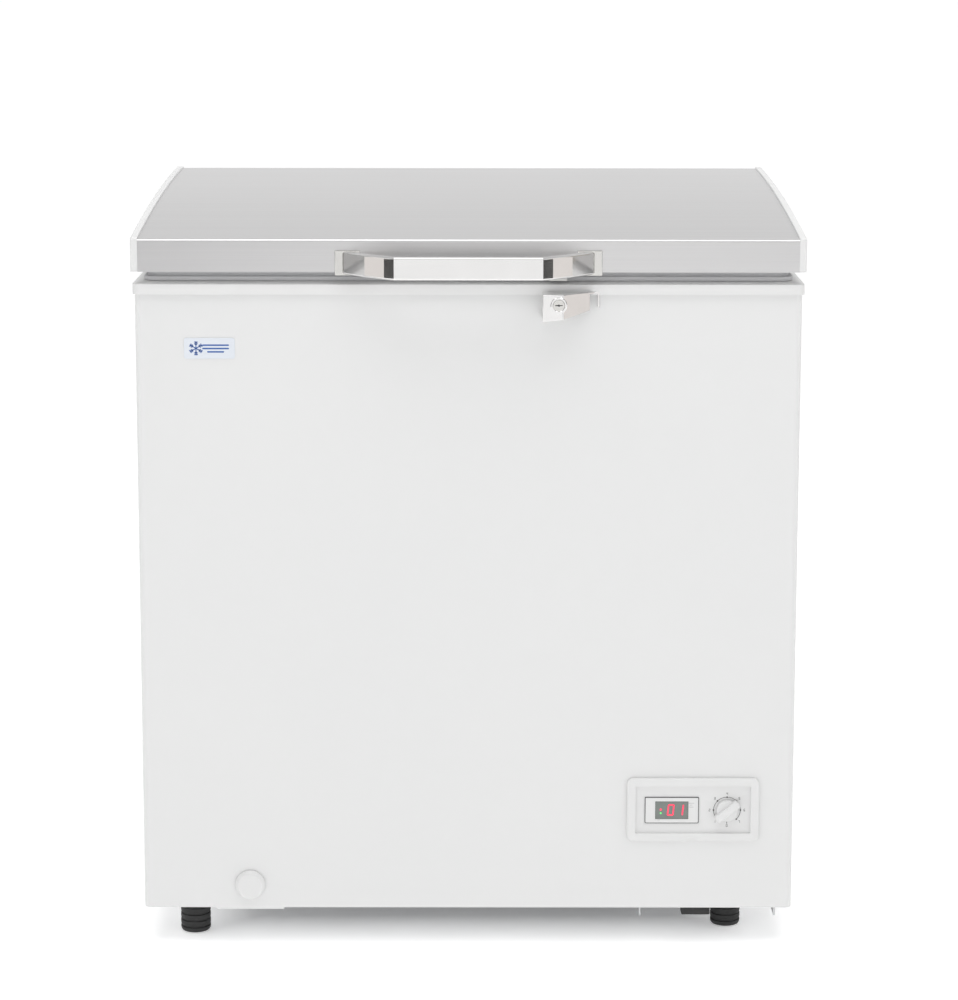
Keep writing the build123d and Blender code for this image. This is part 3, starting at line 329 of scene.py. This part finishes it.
def from_bm(bm, smooth_angle=35.0):
    """Mesh whose sharp edges and the folds between broad flat faces stay crisp."""
    mesh = bpy.data.meshes.new("piece")
    bmesh.ops.recalc_face_normals(bm, faces=bm.faces)
    for edge in bm.edges:
        if len(edge.link_faces) == 2:
            fold = math.degrees(edge.calc_face_angle(0.0))
            broad = min(face.calc_area() for face in edge.link_faces) > BROAD_FACE
            edge.smooth = fold < (BROAD_FOLD if broad else smooth_angle)
    for face in bm.faces:
        face.smooth = face.calc_area() < BROAD_FACE
    bm.to_mesh(mesh)
    bm.free()
    return mesh


def box_into(bm, low, high, radius=0.0, segments=3):
    """Adds a box between two corners, its edges rounded."""
    made = bmesh.ops.create_cube(bm, size=1.0)["verts"]
    low, high = Vector(low), Vector(high)
    middle, size = (low + high) / 2, high - low
    for v in made:
        v.co = Vector((v.co.x * size.x, v.co.y * size.y, v.co.z * size.z)) + middle
    if radius:
        edges = {e for v in made for e in v.link_edges}
        bmesh.ops.bevel(bm, geom=list(edges), offset=radius, segments=segments, profile=0.5, affect="EDGES")


def lathe_into(bm, profile, origin, axis, steps=64):
    """Turns (radius, height) points round an axis through origin."""
    turn = Vector((0, 0, 1)).rotation_difference(Vector(axis)).to_matrix()
    origin = Vector(origin)
    rings = []
    for radius, height in profile:
        if radius:
            angles = (2 * math.pi * i / steps for i in range(steps))
            around = [Vector((radius * math.cos(a), radius * math.sin(a), height)) for a in angles]
        else:
            around = [Vector((0, 0, height))]
        rings.append([bm.verts.new(origin + turn @ point) for point in around])
    for lower, upper in zip(rings, rings[1:]):
        for i in range(steps):
            j = (i + 1) % steps
            if len(lower) == 1 and len(upper) == 1:
                continue
            if len(lower) == 1:
                bm.faces.new((lower[0], upper[j], upper[i]))
            elif len(upper) == 1:
                bm.faces.new((lower[i], lower[j], upper[0]))
            else:
                bm.faces.new((lower[i], lower[j], upper[j], upper[i]))


def arc(cx, cy, radius, start, end, steps=10):
    """Points on an arc, angles in degrees."""
    return [(cx + radius * math.cos(math.radians(start + (end - start) * i / steps)),
             cy + radius * math.sin(math.radians(start + (end - start) * i / steps))) for i in range(steps + 1)]


def disc(x, z, radius, steps=20):
    return [(x + radius * math.cos(2 * math.pi * i / steps), z + radius * math.sin(2 * math.pi * i / steps))
            for i in range(steps)]


def round_rect(cx, cy, width, height, radius, steps=8):
    x, y = width / 2 - radius, height / 2 - radius
    return (arc(cx + x, cy + y, radius, 0, 90, steps) + arc(cx - x, cy + y, radius, 90, 180, steps)
            + arc(cx - x, cy - y, radius, 180, 270, steps) + arc(cx + x, cy - y, radius, 270, 360, steps))


def baked(holder):
    """The mesh that a curve or a carved object comes out as."""
    bpy.context.scene.collection.objects.link(holder)
    mesh = bpy.data.meshes.new_from_object(holder.evaluated_get(bpy.context.evaluated_depsgraph_get()))
    bpy.data.objects.remove(holder)
    return mesh


def add_line(curve, points, cyclic):
    line = curve.splines.new("POLY")
    line.points.add(len(points) - 1)
    for point, where in zip(line.points, points):
        point.co = (*where, 1.0)
    line.use_cyclic_u = cyclic


def front_plate(outlines, y_front, y_back, bevel=0.0):
    """Closed outlines in (x, z) filled, holes left open, and given a thickness along Y."""
    curve = bpy.data.curves.new("outline", "CURVE")
    curve.dimensions = "2D"
    curve.fill_mode = "BOTH"
    curve.extrude = max((y_back - y_front) / 2 - bevel, 0.0)
    curve.bevel_depth = bevel
    curve.bevel_resolution = 2
    curve.offset = -bevel
    for outline in outlines:
        add_line(curve, [(x, z, 0.0) for x, z in outline], True)
    mesh = baked(bpy.data.objects.new("outline", curve))
    mesh.transform(Matrix.Translation((0, (y_front + y_back) / 2, 0)) @ Matrix.Rotation(math.radians(90), 4, "X"))
    bm = bmesh.new()
    bm.from_mesh(mesh)
    bmesh.ops.remove_doubles(bm, verts=bm.verts, dist=0.000005)
    return from_bm(bm)


def sweep(runs, radius, resolution=4, cyclic=False):
    """Round wire along runs of points."""
    curve = bpy.data.curves.new("wire", "CURVE")
    curve.dimensions = "3D"
    curve.bevel_depth = radius
    curve.bevel_resolution = resolution
    curve.use_fill_caps = True
    for run in runs:
        add_line(curve, run, cyclic)
    mesh = baked(bpy.data.objects.new("wire", curve))
    mesh.shade_smooth()
    return mesh


def carve(mesh, low, high):
    """The mesh with a box taken out of it."""
    bm = bmesh.new()
    box_into(bm, low, high)
    cutter_mesh = bpy.data.meshes.new("cutter")
    bm.to_mesh(cutter_mesh)
    bm.free()
    cutter = bpy.data.objects.new("cutter", cutter_mesh)
    bpy.context.scene.collection.objects.link(cutter)
    holder = bpy.data.objects.new("carved", mesh)
    cut = holder.modifiers.new("cut", "BOOLEAN")
    cut.object = cutter
    cut.solver = "EXACT"
    carved = baked(holder)
    bpy.data.objects.remove(cutter)
    return carved


def join_meshes(meshes):
    bm = bmesh.new()
    for mesh in meshes:
        bm.from_mesh(mesh)
    joined = bpy.data.meshes.new("piece")
    bm.to_mesh(joined)
    bm.free()
    return joined


def front_plates(outlines, y_front, y_back):
    """One mesh of a separate plate for every outline, so that outlines may overlap."""
    return join_meshes([front_plate([outline], y_front, y_back) for outline in outlines])


def spot(node):
    """Middle of a CAD node."""
    low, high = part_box(node)
    return (low + high) / 2


# ------------------------------------------------------------------ CAD pieces kept, with softened edges

edge_width = {
    "trim_rail_front": 0.0012, "trim_rail_rear": 0.0012, "trim_rail_left": 0.0012, "trim_rail_right": 0.0012,
    "lid_end_cap_left": 0.0016, "lid_end_cap_right": 0.0016, "lid_inner_liner": 0.0015, "lid_gasket": 0.0008,
    "lock_keeper": 0.0004, "control_bezel": 0.0005, "thermostat_body": 0.0004, "drain_cap": 0.0007,
    "drain_plug": 0.0006, "compressor": 0.0006, "compressor_base_plate": 0.0003, "base_plate_stop": 0.0012,
    "rear_grille": 0.0005, "side_grille": 0.0005, "hinge_base_left": 0.0003, "hinge_base_right": 0.0003,
    "hinge_leaf_left": 0.0003, "hinge_leaf_right": 0.0003, "relay_cover": 0.0012, "cord_gland": 0.0008}


def soften(thing, width):
    """Welds the corners of a CAD mesh and rounds its sharp edges."""
    weld = thing.modifiers.new("weld", "WELD")
    weld.merge_threshold = 0.02 * MM
    bevel = thing.modifiers.new("round", "BEVEL")
    bevel.width = width
    bevel.segments = 3
    bevel.limit_method = "ANGLE"
    bevel.angle_limit = math.radians(30)
    bevel.harden_normals = True
    bevel.use_clamp_overlap = True
    thing.data.shade_smooth()


for node_name, width in edge_width.items():
    soften(frame["nodes"][node_name], width)

# ------------------------------------------------------------------ handle


def flat_plate(outlines, z_low, z_high, bevel):
    """Closed outlines in (x, y) filled and given a height."""
    mesh = front_plate(outlines, z_low, z_high, bevel)
    mesh.transform(Matrix(((1, 0, 0, 0), (0, 0, 1, 0), (0, 1, 0, 0), (0, 0, 0, 1))))
    mesh.flip_normals()
    return mesh


HANDLE_THICKNESS = 13 * MM
PAD_WIDTH = 28 * MM


def handle_mesh():
    """Bridge bar folded from straight facets, with well rounded long edges."""
    low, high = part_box("handle_bar")
    half = (high.x - low.x) / 2
    middle = (high.x + low.x) / 2
    deep = high.y - low.y
    right = [(half + 2.5 * MM, 0.0), (half - 23 * MM, 0.50 * deep), (half - 45 * MM, 0.855 * deep),
             (half - 56 * MM, deep)]
    path = right + [(-x, y) for x, y in reversed(right)]
    inner = []
    for i, (x, y) in enumerate(path):
        before = Vector(path[i - 1]) if i else None
        after = Vector(path[i + 1]) if i + 1 < len(path) else None
        here = Vector((x, y))
        normals = []
        for a, b in ((before, here), (here, after)):
            if a is not None and b is not None:
                d = (b - a).normalized()
                normals.append(Vector((-d.y, d.x)))
        if len(normals) == 1:
            n = normals[0]
            inner.append((x + math.copysign(HANDLE_THICKNESS / max(abs(n.x), 0.3), n.x), y))
        else:
            n = (normals[0] + normals[1]).normalized()
            inner.append(tuple(here + n * HANDLE_THICKNESS / n.dot(normals[0])))
    outline = [(middle + x, high.y - y) for x, y in path + inner[::-1]]
    return flat_plate([outline], low.z, high.z, 2.2 * MM)


put("grip_bar", handle_mesh(), chrome, "lid", "polished_chrome", "handle_bar")

pads = bmesh.new()
pad_low, pad_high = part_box("handle_pads")
for x in (pad_low.x, pad_high.x - PAD_WIDTH):
    box_into(pads, (x, pad_low.y, pad_low.z), (x + PAD_WIDTH, pad_high.y, pad_high.z), 0.7 * MM, 2)
put("grip_pads", from_bm(pads), satin, "lid", "polished_chrome", "handle_pads")

# ------------------------------------------------------------------ lock

LOCK_FLAT_WIDTH = 23 * MM
LOCK_RIGHT_HEIGHT = 17.5 * MM
LOCK_RIGHT_REACH = 4 * MM
LOCK_WALL = 2 * MM


def lock_case():
    """Chrome wedge: a flat face on the left, then a long slope to a thin right-hand end."""
    low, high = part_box("lock_housing")
    front, back = low.y, high.y
    flat = low.x + LOCK_FLAT_WIDTH
    slope = (high.x - 6 * MM - flat, back - LOCK_RIGHT_REACH - 0.5 * MM - front)
    plan = [(low.x, back), (low.x, front), (flat, front)]
    plan += [(flat + slope[0] * i / 6, front + slope[1] * i / 6) for i in range(1, 7)]
    plan += [(high.x, back - LOCK_RIGHT_REACH), (high.x, back)]
    lift = high.z - LOCK_RIGHT_HEIGHT - low.z

    def bottom(x):
        """The lower edge is level at the left and then rises to the right."""
        t = (x - low.x) / (high.x - low.x)
        return low.z + lift * max(0.0, (t - 0.12) / 0.88) ** 1.35

    bm = bmesh.new()
    under = [bm.verts.new((x, y, bottom(x))) for x, y in plan]
    over = [bm.verts.new((x, y, high.z)) for x, y in plan]
    bm.faces.new(over)
    bm.faces.new(under[::-1])
    for i in range(len(plan)):
        j = (i + 1) % len(plan)
        bm.faces.new((under[i], under[j], over[j], over[i]))
    bmesh.ops.recalc_face_normals(bm, faces=bm.faces)
    sharp = [e for e in bm.edges if len(e.link_faces) == 2 and e.calc_face_angle(0.0) > math.radians(25)]
    bmesh.ops.bevel(bm, geom=sharp, offset=0.8 * MM, segments=3, profile=0.5, affect="EDGES")
    return from_bm(bm)


lock_x, lock_z = spot("lock_barrel").x, spot("lock_barrel").z
lock_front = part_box("lock_barrel")[0].y
cylinder_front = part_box("lock_cylinder")[0].y
case_low, case_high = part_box("lock_housing")

# The case is hollow, with a slot in its top that the cam swings up through.
hollow_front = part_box("lock_cam")[0].y - 1.5 * MM
case = carve(lock_case(), (case_low.x + LOCK_WALL, hollow_front, case_low.z + 5 * MM),
             (case_high.x - LOCK_WALL, case_high.y + 1 * MM, case_high.z - LOCK_WALL))
case = carve(case, (lock_x - 11 * MM, hollow_front, lock_z + 6 * MM),
             (lock_x + 34 * MM, case_high.y + 1 * MM, case_high.z + 1 * MM))
put("lock_case", case, chrome, "cabinet", "polished_chrome", "lock_housing")
ring = bmesh.new()
ring_profile = ((6.5, 2.5), (6.5, 0.5), (7.0, 0.0), (8.6, 0.0), (9.2, 0.5), (9.3, 1.6), (9.3, 3.0))
lathe_into(ring, [(r * MM, depth * MM) for r, depth in ring_profile], (lock_x, lock_front, lock_z), (0, 1, 0), 96)
put("lock_ring", from_bm(ring), chrome, "cabinet", "polished_chrome", "lock_barrel")
put("lock_plug", front_plate([disc(lock_x, lock_z, 6.35 * MM, 72)], cylinder_front, cylinder_front + 4 * MM,
                             0.25 * MM), satin, "lock", "polished_chrome", "lock_cylinder")
# Painted shade: the keyway is not cut as a slot. A thin black sheet laid just proud of the plug face stands in for
# the shadow inside it.
keyway = [(lock_x + x * MM, lock_z + z * MM) for x, z in
          ((-4.0, 0.7), (-1.4, 0.7), (-0.8, 1.4), (0.6, 1.4), (1.0, 0.6), (4.2, 0.6), (4.2, -0.3), (1.4, -0.3),
           (0.9, -1.0), (-0.6, -1.0), (-1.0, -0.5), (-4.0, -0.5))]
put("lock_keyway_painted_shade", front_plate([keyway], cylinder_front - 0.08 * MM, cylinder_front + 1 * MM), black_steel, "lock",
    "black_steel")
core = bmesh.new()
lathe_into(core, [(0, 0), (6.2 * MM, 0), (6.2 * MM, 20 * MM), (0, 20 * MM)],
           (lock_x, cylinder_front + 3 * MM, lock_z), (0, 1, 0), 48)
put("lock_core", from_bm(core), black_steel, "lock", "black_steel")

# ------------------------------------------------------------------ thermostat knob and control panel

# Floor of the recess in the bezel, a little in front of the cabinet's front sheet.
control_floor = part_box("cabinet_shell")[0].y - 1.0 * MM
dial_x, dial_z = spot("thermostat_knob").x, spot("thermostat_knob").z


def knob_mesh():
    """Round skirt with a rounded diagonal grip across it."""
    low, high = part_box("thermostat_knob")
    r = 12.5 * MM
    skirt = bmesh.new()
    lathe_into(skirt, [(0, 0), (r, 0), (r, 3.6 * MM), (r - 0.5 * MM, 4.6 * MM), (r - 1.4 * MM, 5 * MM), (0, 5 * MM)],
               (dial_x, min(high.y, control_floor - 0.3 * MM), dial_z), (0, -1, 0), 96)
    grip = bmesh.new()
    box_into(grip, (-16 * MM, low.y, -4.6 * MM), (16 * MM, control_floor - 0.4 * MM, 4.6 * MM), 2.6 * MM, 5)
    bmesh.ops.rotate(grip, verts=grip.verts, matrix=Matrix.Rotation(math.radians(-38), 3, "Y"))
    bmesh.ops.translate(grip, verts=grip.verts, vec=(dial_x, 0, dial_z))
    return join_meshes([from_bm(skirt), from_bm(grip)])


put("dial_knob", knob_mesh(), white_plastic, "knob", "white_plastic", "thermostat_knob")

# Ends of the seven bars of a figure, in widths and half heights, and the bars that each figure uses.
SEGMENTS = {"a": ((0.12, 1.94), (0.88, 1.94)), "b": ((0.94, 1.88), (0.94, 1.06)), "c": ((0.94, 0.94), (0.94, 0.12)),
            "d": ((0.12, 0.06), (0.88, 0.06)), "e": ((0.06, 0.94), (0.06, 0.12)), "f": ((0.06, 1.88), (0.06, 1.06)),
            "g": ((0.12, 1.0), (0.88, 1.0))}
LIT = {"0": "abcdef", "1": "bc", "2": "abged", "3": "abgcd", "4": "fgbc", "5": "afgcd", "6": "afgedc", "7": "abc"}


def figure(sign, x, z, width, height, stroke, slant=0.0):
    """Outlines of a number made of straight bars, centred on (x, z)."""
    outlines = []
    for key in LIT[sign]:
        (ax, az), (bx, bz) = SEGMENTS[key]
        a = Vector(((ax - 0.5) * width, (az - 1.0) * height / 2))
        b = Vector(((bx - 0.5) * width, (bz - 1.0) * height / 2))
        along = (b - a).normalized() * stroke / 2
        side = Vector((-along.y, along.x))
        corners = [a - side, a - along, a + side, b + side, b + along, b - side]
        outlines.append([(x + c.x + c.y * slant, z + c.y) for c in corners])
    return outlines


def dial_marks():
    """Printed scale: an arc, dots at every eighth of a turn and small numbers outside it."""
    ring, pen = 15.4 * MM, 0.28 * MM
    outlines = [arc(dial_x, dial_z, ring + pen, 225, -45, 72) + arc(dial_x, dial_z, ring - pen, -45, 225, 72)]
    for i, sign in enumerate("1234567"):
        angle = math.radians(225 - 45 * i)
        cx, cz = math.cos(angle), math.sin(angle)
        outlines.append(disc(dial_x + (ring + 0.1 * MM) * cx, dial_z + ring * cz, 0.95 * MM))
        outlines += figure(sign, dial_x + 20.0 * MM * cx, dial_z + 19.6 * MM * cz, 1.5 * MM, 2.8 * MM, 0.4 * MM)
    outlines += figure("0", dial_x, dial_z - 18.6 * MM, 1.6 * MM, 2.8 * MM, 0.4 * MM)
    outlines.append([(dial_x + x * MM, dial_z - z * MM) for x, z in
                     ((-0.3, 16.4), (0.3, 16.4), (0.3, 13.8), (-0.3, 13.8))])
    return front_plates(outlines, control_floor - 0.12 * MM, control_floor + 0.05 * MM)


put("dial_print", dial_marks(), label_ink, "cabinet", "dark_grey_plastic")

display_low, display_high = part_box("display_module")
lens_low, lens_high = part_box("display_lens")
display, window = spot("display_module"), spot("display_lens")
FASCIA_DEPTH = 1.5 * MM


def fascia(grow, hole, proud, bevel, radius):
    """Rounded plate the size of the display, grown by an amount, with a hole, standing proud of the display."""
    outer = round_rect(display.x, display.z, display_high.x - display_low.x + grow,
                       display_high.z - display_low.z + grow, radius)
    return front_plate([outer, hole], display_low.y - proud, display_low.y + FASCIA_DEPTH, bevel)


def rim_hole(middle, low, high, grow, radius):
    """Rounded opening about a middle, the size of a box grown by an amount."""
    return round_rect(middle.x, middle.z, high.x - low.x + grow, high.z - low.z + grow, radius)


put("display_outline", fascia(0.5 * MM, rim_hole(display, display_low, display_high, -1.0 * MM, 1.0 * MM), 0.2 * MM,
                              0.0, 1.6 * MM), grey_plastic, "cabinet", "dark_grey_plastic")
put("display_fascia", fascia(-1.1 * MM, rim_hole(window, lens_low, lens_high, 0.4 * MM, 0.6 * MM), 0.35 * MM,
                             0.15 * MM, 1.0 * MM), white_plastic, "cabinet", "white_plastic")

lamp_y = lens_low.y - 0.1 * MM
figures = []
for sign, across in (("0", -1.2 * MM), ("1", 9.6 * MM)):
    figures += figure(sign, window.x + across, window.z + 0.2 * MM, 7.0 * MM, 12.8 * MM, 1.7 * MM, 0.10)
put("display_figures", front_plates(figures, lamp_y, lamp_y + 0.2 * MM), red_light, "cabinet", "tinted_lens")
for name, up, radius, finish in (("display_lamp_red", 0.7, 1.3, red_light),
                                 ("display_lamp_green", -3.6, 1.2, green_light)):
    put(name, front_plate([disc(window.x - 12.6 * MM, window.z + up * MM, radius * MM)], lamp_y, lamp_y + 0.3 * MM),
        finish, "cabinet", "tinted_lens")
small_print = [round_rect(display.x + x * MM, display.z + z * MM, w * MM, h * MM, 0.2 * MM, 3) for x, z, w, h in
               ((22.5, 8.4, 6.5, 1.0), (22.0, 6.2, 3.0, 1.0), (22.5, 3.8, 5.0, 1.0), (-15.0, -11.2, 3.0, 1.6))]
put("display_small_print", front_plates(small_print, display_low.y - 0.45 * MM, display_low.y), label_faint,
    "cabinet", "white_plastic")

# ------------------------------------------------------------------ badge: a snowflake on a plain label


def toward(degrees):
    angle = math.radians(degrees)
    return Vector((math.cos(angle), math.sin(angle)))


def snowflake(x, z, radius, pen):
    """Outlines of six arms, each with two pairs of twigs."""
    outlines = []

    def bar(start, end):
        side = Vector((-(end - start).y, (end - start).x)).normalized() * pen / 2
        outlines.append([(x + p.x, z + p.y) for p in (start - side, end - side, end + side, start + side)])

    for heading in range(90, 450, 60):
        arm = toward(heading) * radius
        bar(arm * 0.0, arm)
        for reach in (0.5, 0.75):
            for turn in (-50, 50):
                bar(arm * reach, arm * reach + toward(heading + turn) * radius * 0.3)
    return outlines


badge_low, badge_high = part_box("badge")
badge = spot("badge")
badge_plate = round_rect(badge.x, badge.z, badge_high.x - badge_low.x, badge_high.z - badge_low.z, 2.5 * MM)
put("badge_label", front_plate([badge_plate], badge_low.y, badge_high.y, 0.2 * MM), label_paper, "cabinet", "label",
    "badge")
print_y = badge_low.y - 0.1 * MM
marks = snowflake(badge.x - 15 * MM, badge.z, 8.0 * MM, 1.1 * MM)
marks += [round_rect(badge.x + 7 * MM, badge.z + up * MM, length * MM, 1.7 * MM, 0.8 * MM, 4)
          for up, length in ((3.6, 30), (-0.2, 30), (-4.0, 19))]
put("badge_print", front_plates(marks, print_y, print_y + 0.15 * MM), label_blue, "cabinet", "label")

# ------------------------------------------------------------------ feet

RUBBER_TOP = 30 * MM
RIBS = 3
RIB_DEPTH = 1.3 * MM
THREAD_PITCH = 1.25 * MM


def foot_mesh(node):
    """Ribbed rubber foot."""
    low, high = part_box(node)
    r = (high.x - low.x) / 2
    profile = [(0, 0.0), (r - 4 * MM, 0.0), (r - 1.6 * MM, 0.9 * MM), (r - 0.3 * MM, 3.0 * MM), (r, 5 * MM)]
    step = (RUBBER_TOP - 7 * MM) / RIBS
    for i in range(RIBS):
        z = 6 * MM + i * step
        profile += [(r, z), (r - RIB_DEPTH, z + 0.6 * MM), (r - RIB_DEPTH, z + step * 0.35),
                    (r, z + step * 0.35 + 0.6 * MM)]
    profile += [(r, RUBBER_TOP - 1 * MM), (r - 1 * MM, RUBBER_TOP), (0, RUBBER_TOP)]
    bm = bmesh.new()
    lathe_into(bm, profile, (spot(node).x, spot(node).y, 0.0), (0, 0, 1), 72)
    return from_bm(bm, 30)


def stud_mesh(node):
    """Threaded steel stud that stands on the rubber."""
    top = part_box(node)[1].z
    z = RUBBER_TOP - 1 * MM
    profile = [(0, z)]
    while z < top - 1.5 * MM:
        profile += [(3.9 * MM, z), (3.4 * MM, z + 0.6 * MM)]
        z += THREAD_PITCH
    profile += [(3.6 * MM, top - 0.6 * MM), (3.0 * MM, top), (0, top)]
    bm = bmesh.new()
    lathe_into(bm, profile, (spot(node).x, spot(node).y, 0.0), (0, 0, 1), 40)
    return from_bm(bm, 30)


for place in ("front_left", "front_right", "rear_left", "rear_right"):
    put(f"rubber_foot_{place}", foot_mesh(f"foot_{place}"), black_rubber, f"{place}_foot", "black_rubber",
        f"foot_{place}")
    put(f"foot_stud_{place}", stud_mesh(f"foot_{place}"), zinc, f"{place}_foot", "zinc_fastener")

# ------------------------------------------------------------------ hanging basket

FRAME_WIRE = 2.3 * MM
RING_WIRE = 1.5 * MM
HOOP_WIRE = 1.3 * MM
HOOK_WIRE = 2.4 * MM
HOOK_REACH = 19 * MM
HOOP_BEND = 6 * MM
HOOP_MARGIN = 16 * MM
COLUMNS, ROWS = 9, 15


def basket_wires():
    """Welded wire basket: rim and floor frames, two middle rings, hoops both ways and four hook loops."""
    low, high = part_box("hanging_basket")
    x0, x1 = low.x + 2.4 * MM, high.x - 2.4 * MM
    y0, y1 = low.y + HOOK_REACH + 2.4 * MM, high.y - HOOK_REACH - 2.4 * MM
    top, floor = high.z - 2.5 * MM, low.z + 1.6 * MM

    def ring(z):
        return [(x, y, z) for x, y in round_rect((x0 + x1) / 2, (y0 + y1) / 2, x1 - x0, y1 - y0, 14 * MM, 6)]

    def hoop(start, end):
        """Heights along one hoop: down a wall, over the floor and up the other wall."""
        return ((start, top), (start, floor + HOOP_BEND), (start + HOOP_BEND, floor), (end - HOOP_BEND, floor),
                (end, floor + HOOP_BEND), (end, top))

    frames = [ring(top), ring(floor + 1.5 * MM)]
    rings = [ring(floor + (top - floor) * share) for share in (0.33, 0.66)]
    hoops = []
    for i in range(COLUMNS):
        x = x0 + HOOP_MARGIN + (x1 - x0 - 2 * HOOP_MARGIN) * i / (COLUMNS - 1)
        hoops.append([(x, y, z) for y, z in hoop(y0, y1)])
    for i in range(ROWS):
        y = y0 + HOOP_MARGIN + (y1 - y0 - 2 * HOOP_MARGIN) * i / (ROWS - 1)
        hoops.append([(x, y, z) for x, z in hoop(x0, x1)])
    hooks = []
    for x in (low.x + 30 * MM, high.x - 30 * MM):
        for near, far in ((y0, low.y + 2.6 * MM), (y1, high.y - 2.6 * MM)):
            hooks.append([(x - 10 * MM, near, top), (x - 10 * MM, far, top), (x + 10 * MM, far, top),
                          (x + 10 * MM, near, top)])
    return join_meshes([sweep(frames, FRAME_WIRE, 4, True), sweep(rings, RING_WIRE, 3, True),
                        sweep(hoops, HOOP_WIRE, 3), sweep(hooks, HOOK_WIRE, 4)])


put("wire_basket", basket_wires(), wire_coat, "basket", "coated_wire", "hanging_basket")

# ------------------------------------------------------------------ floor, light and camera


def card_finish(name, colour):
    """A card with its own even tone, whatever the light on it."""
    f = Finish(name, Roughness=0.9, Specular_IOR_Level=0.0, Emission_Strength=1.0)
    f.feed("Base Color", grey(0.02))
    f.feed("Emission Color", f.blend(f.noise(1.5), colour, dimmed(colour, 0.93)))
    return f


FOOTPRINT = (0.37, 0.27)
FLOOR_START, FLOOR_END = -0.12, 1.88


def floor_finish():
    """White floor with painted light: its own glow is faint deep under the object and strongest in a strip just
    inside the footprint's edge, where it thins the contact shadow; it is lower a little way out and higher again far
    off, so the studio stays even.
    """
    f = Finish("floor_white_painted_glow", Roughness=0.9, Specular_IOR_Level=0.1, Emission_Strength=1.0)
    x, y = f.parts(f.place(), "XY")
    away = f.larger(abs(x) - FOOTPRINT[0], abs(y) - FOOTPRINT[1])
    f.feed("Base Color", f.blend(f.noise(2.0), grey(0.93), grey(0.95)))
    # Painted light: the glow climbs to its brightest a few centimetres in under the object's edge, so the contact
    # shadow fades sooner there, then dips and rises again further away.
    f.feed("Emission Color", f.ramp(f.spread(away, 0.0, 1.0, FLOOR_START, FLOOR_END), [
        (0.0, grey(0.07)), (0.022, grey(0.30)), (0.038, grey(0.44)), (0.14, grey(0.22)), (1.0, grey(0.42))]))
    return f


def stage_plane(name, size, place, turn, finish):
    bm = bmesh.new()
    x, y = size[0] / 2, size[1] / 2
    bm.faces.new([bm.verts.new((a * x, b * y, 0.0)) for a, b in ((-1, -1), (1, -1), (1, 1), (-1, 1))])
    mesh = bpy.data.meshes.new(name)
    bm.to_mesh(mesh)
    bm.free()
    thing = bpy.data.objects.new(name, mesh)
    bpy.context.scene.collection.objects.link(thing)
    thing.location = place
    thing.rotation_euler = [math.radians(a) for a in turn]
    mesh.materials.append(finish.material)
    return thing


def soft_light(name, size, place, turn, power):
    lamp = bpy.data.lights.new(name, "AREA")
    lamp.shape = "RECTANGLE"
    lamp.size, lamp.size_y = size
    lamp.energy = power
    thing = bpy.data.objects.new(name, lamp)
    bpy.context.scene.collection.objects.link(thing)
    thing.location = place
    thing.rotation_euler = [math.radians(a) for a in turn]


stage_plane("floor", (300, 300), (0, 0, 0), (0, 0, 0), floor_finish())
world = bpy.data.worlds.new("studio")
bpy.context.scene.world = world
world.use_nodes = True
sky = Graph(world.node_tree)
(up,) = sky.parts(sky.node("ShaderNodeTexCoord"), "Z")
background = world.node_tree.nodes["Background"]
sky.join(sky.ramp(up, [(0.20, grey(1.0)), (0.75, grey(0.48))]), background.inputs["Color"])
background.inputs["Strength"].default_value = 1.05
soft_light("overhead", (3.6, 3.2), (0.0, -0.9, 3.4), (0, 0, 0), 66)

CARD_HEIGHT = 2.6


def card(name, azimuth, reach, width, finish):
    """Upright card that only mirrors can see, facing the object from an azimuth, 0 being in front of it."""
    a = math.radians(azimuth)
    place = (reach * math.sin(a), -0.3 - reach * math.cos(a), CARD_HEIGHT / 2 - 0.6)
    thing = stage_plane(name, (width, CARD_HEIGHT), place, (90, 0, azimuth), finish)
    thing.visible_camera = thing.visible_diffuse = thing.visible_shadow = thing.visible_transmission = False


dark_card = card_finish("card_dark", grey(0.05, (1.0, 0.95, 0.92)))
grey_card = card_finish("card_grey", grey(0.40, (0.98, 1.0, 0.98)))
brown_card = card_finish("card_brown", grey(0.40, (1.0, 0.91, 0.80)))
rose_card = card_finish("card_rose", grey(0.90, (1.0, 0.95, 0.92)))
front_card = card_finish("card_front", grey(0.40, (0.98, 0.97, 1.0)))
card("card_left_bend", -78, 2.6, 0.42, dark_card)
card("card_right_bend", 77, 2.6, 0.30, dark_card)
card("card_left_facet", -89.5, 2.6, 0.50, rose_card)
card("card_right_facet", 89.5, 2.6, 0.50, rose_card)
card("card_left_leg", -106.5, 2.6, 1.02, grey_card)
card("card_right_leg", 106.5, 2.6, 1.02, brown_card)
card("card_left_front", -26, 3.6, 1.9, front_card)
card("card_right_front", 30, 3.6, 1.3, front_card)

camera = bpy.data.objects.new("camera", bpy.data.cameras.new("camera"))
bpy.context.scene.collection.objects.link(camera)
camera.location = (0.0052, -3.6282, 1.1843)
camera.rotation_euler = [math.radians(a) for a in (80.4529, -0.0822, -0.0995)]
camera.data.lens = 109.42
camera.data.sensor_width = 36.0
camera.data.shift_y = -0.08
bpy.context.scene.camera = camera
bpy.context.scene.view_settings.view_transform = "Standard"
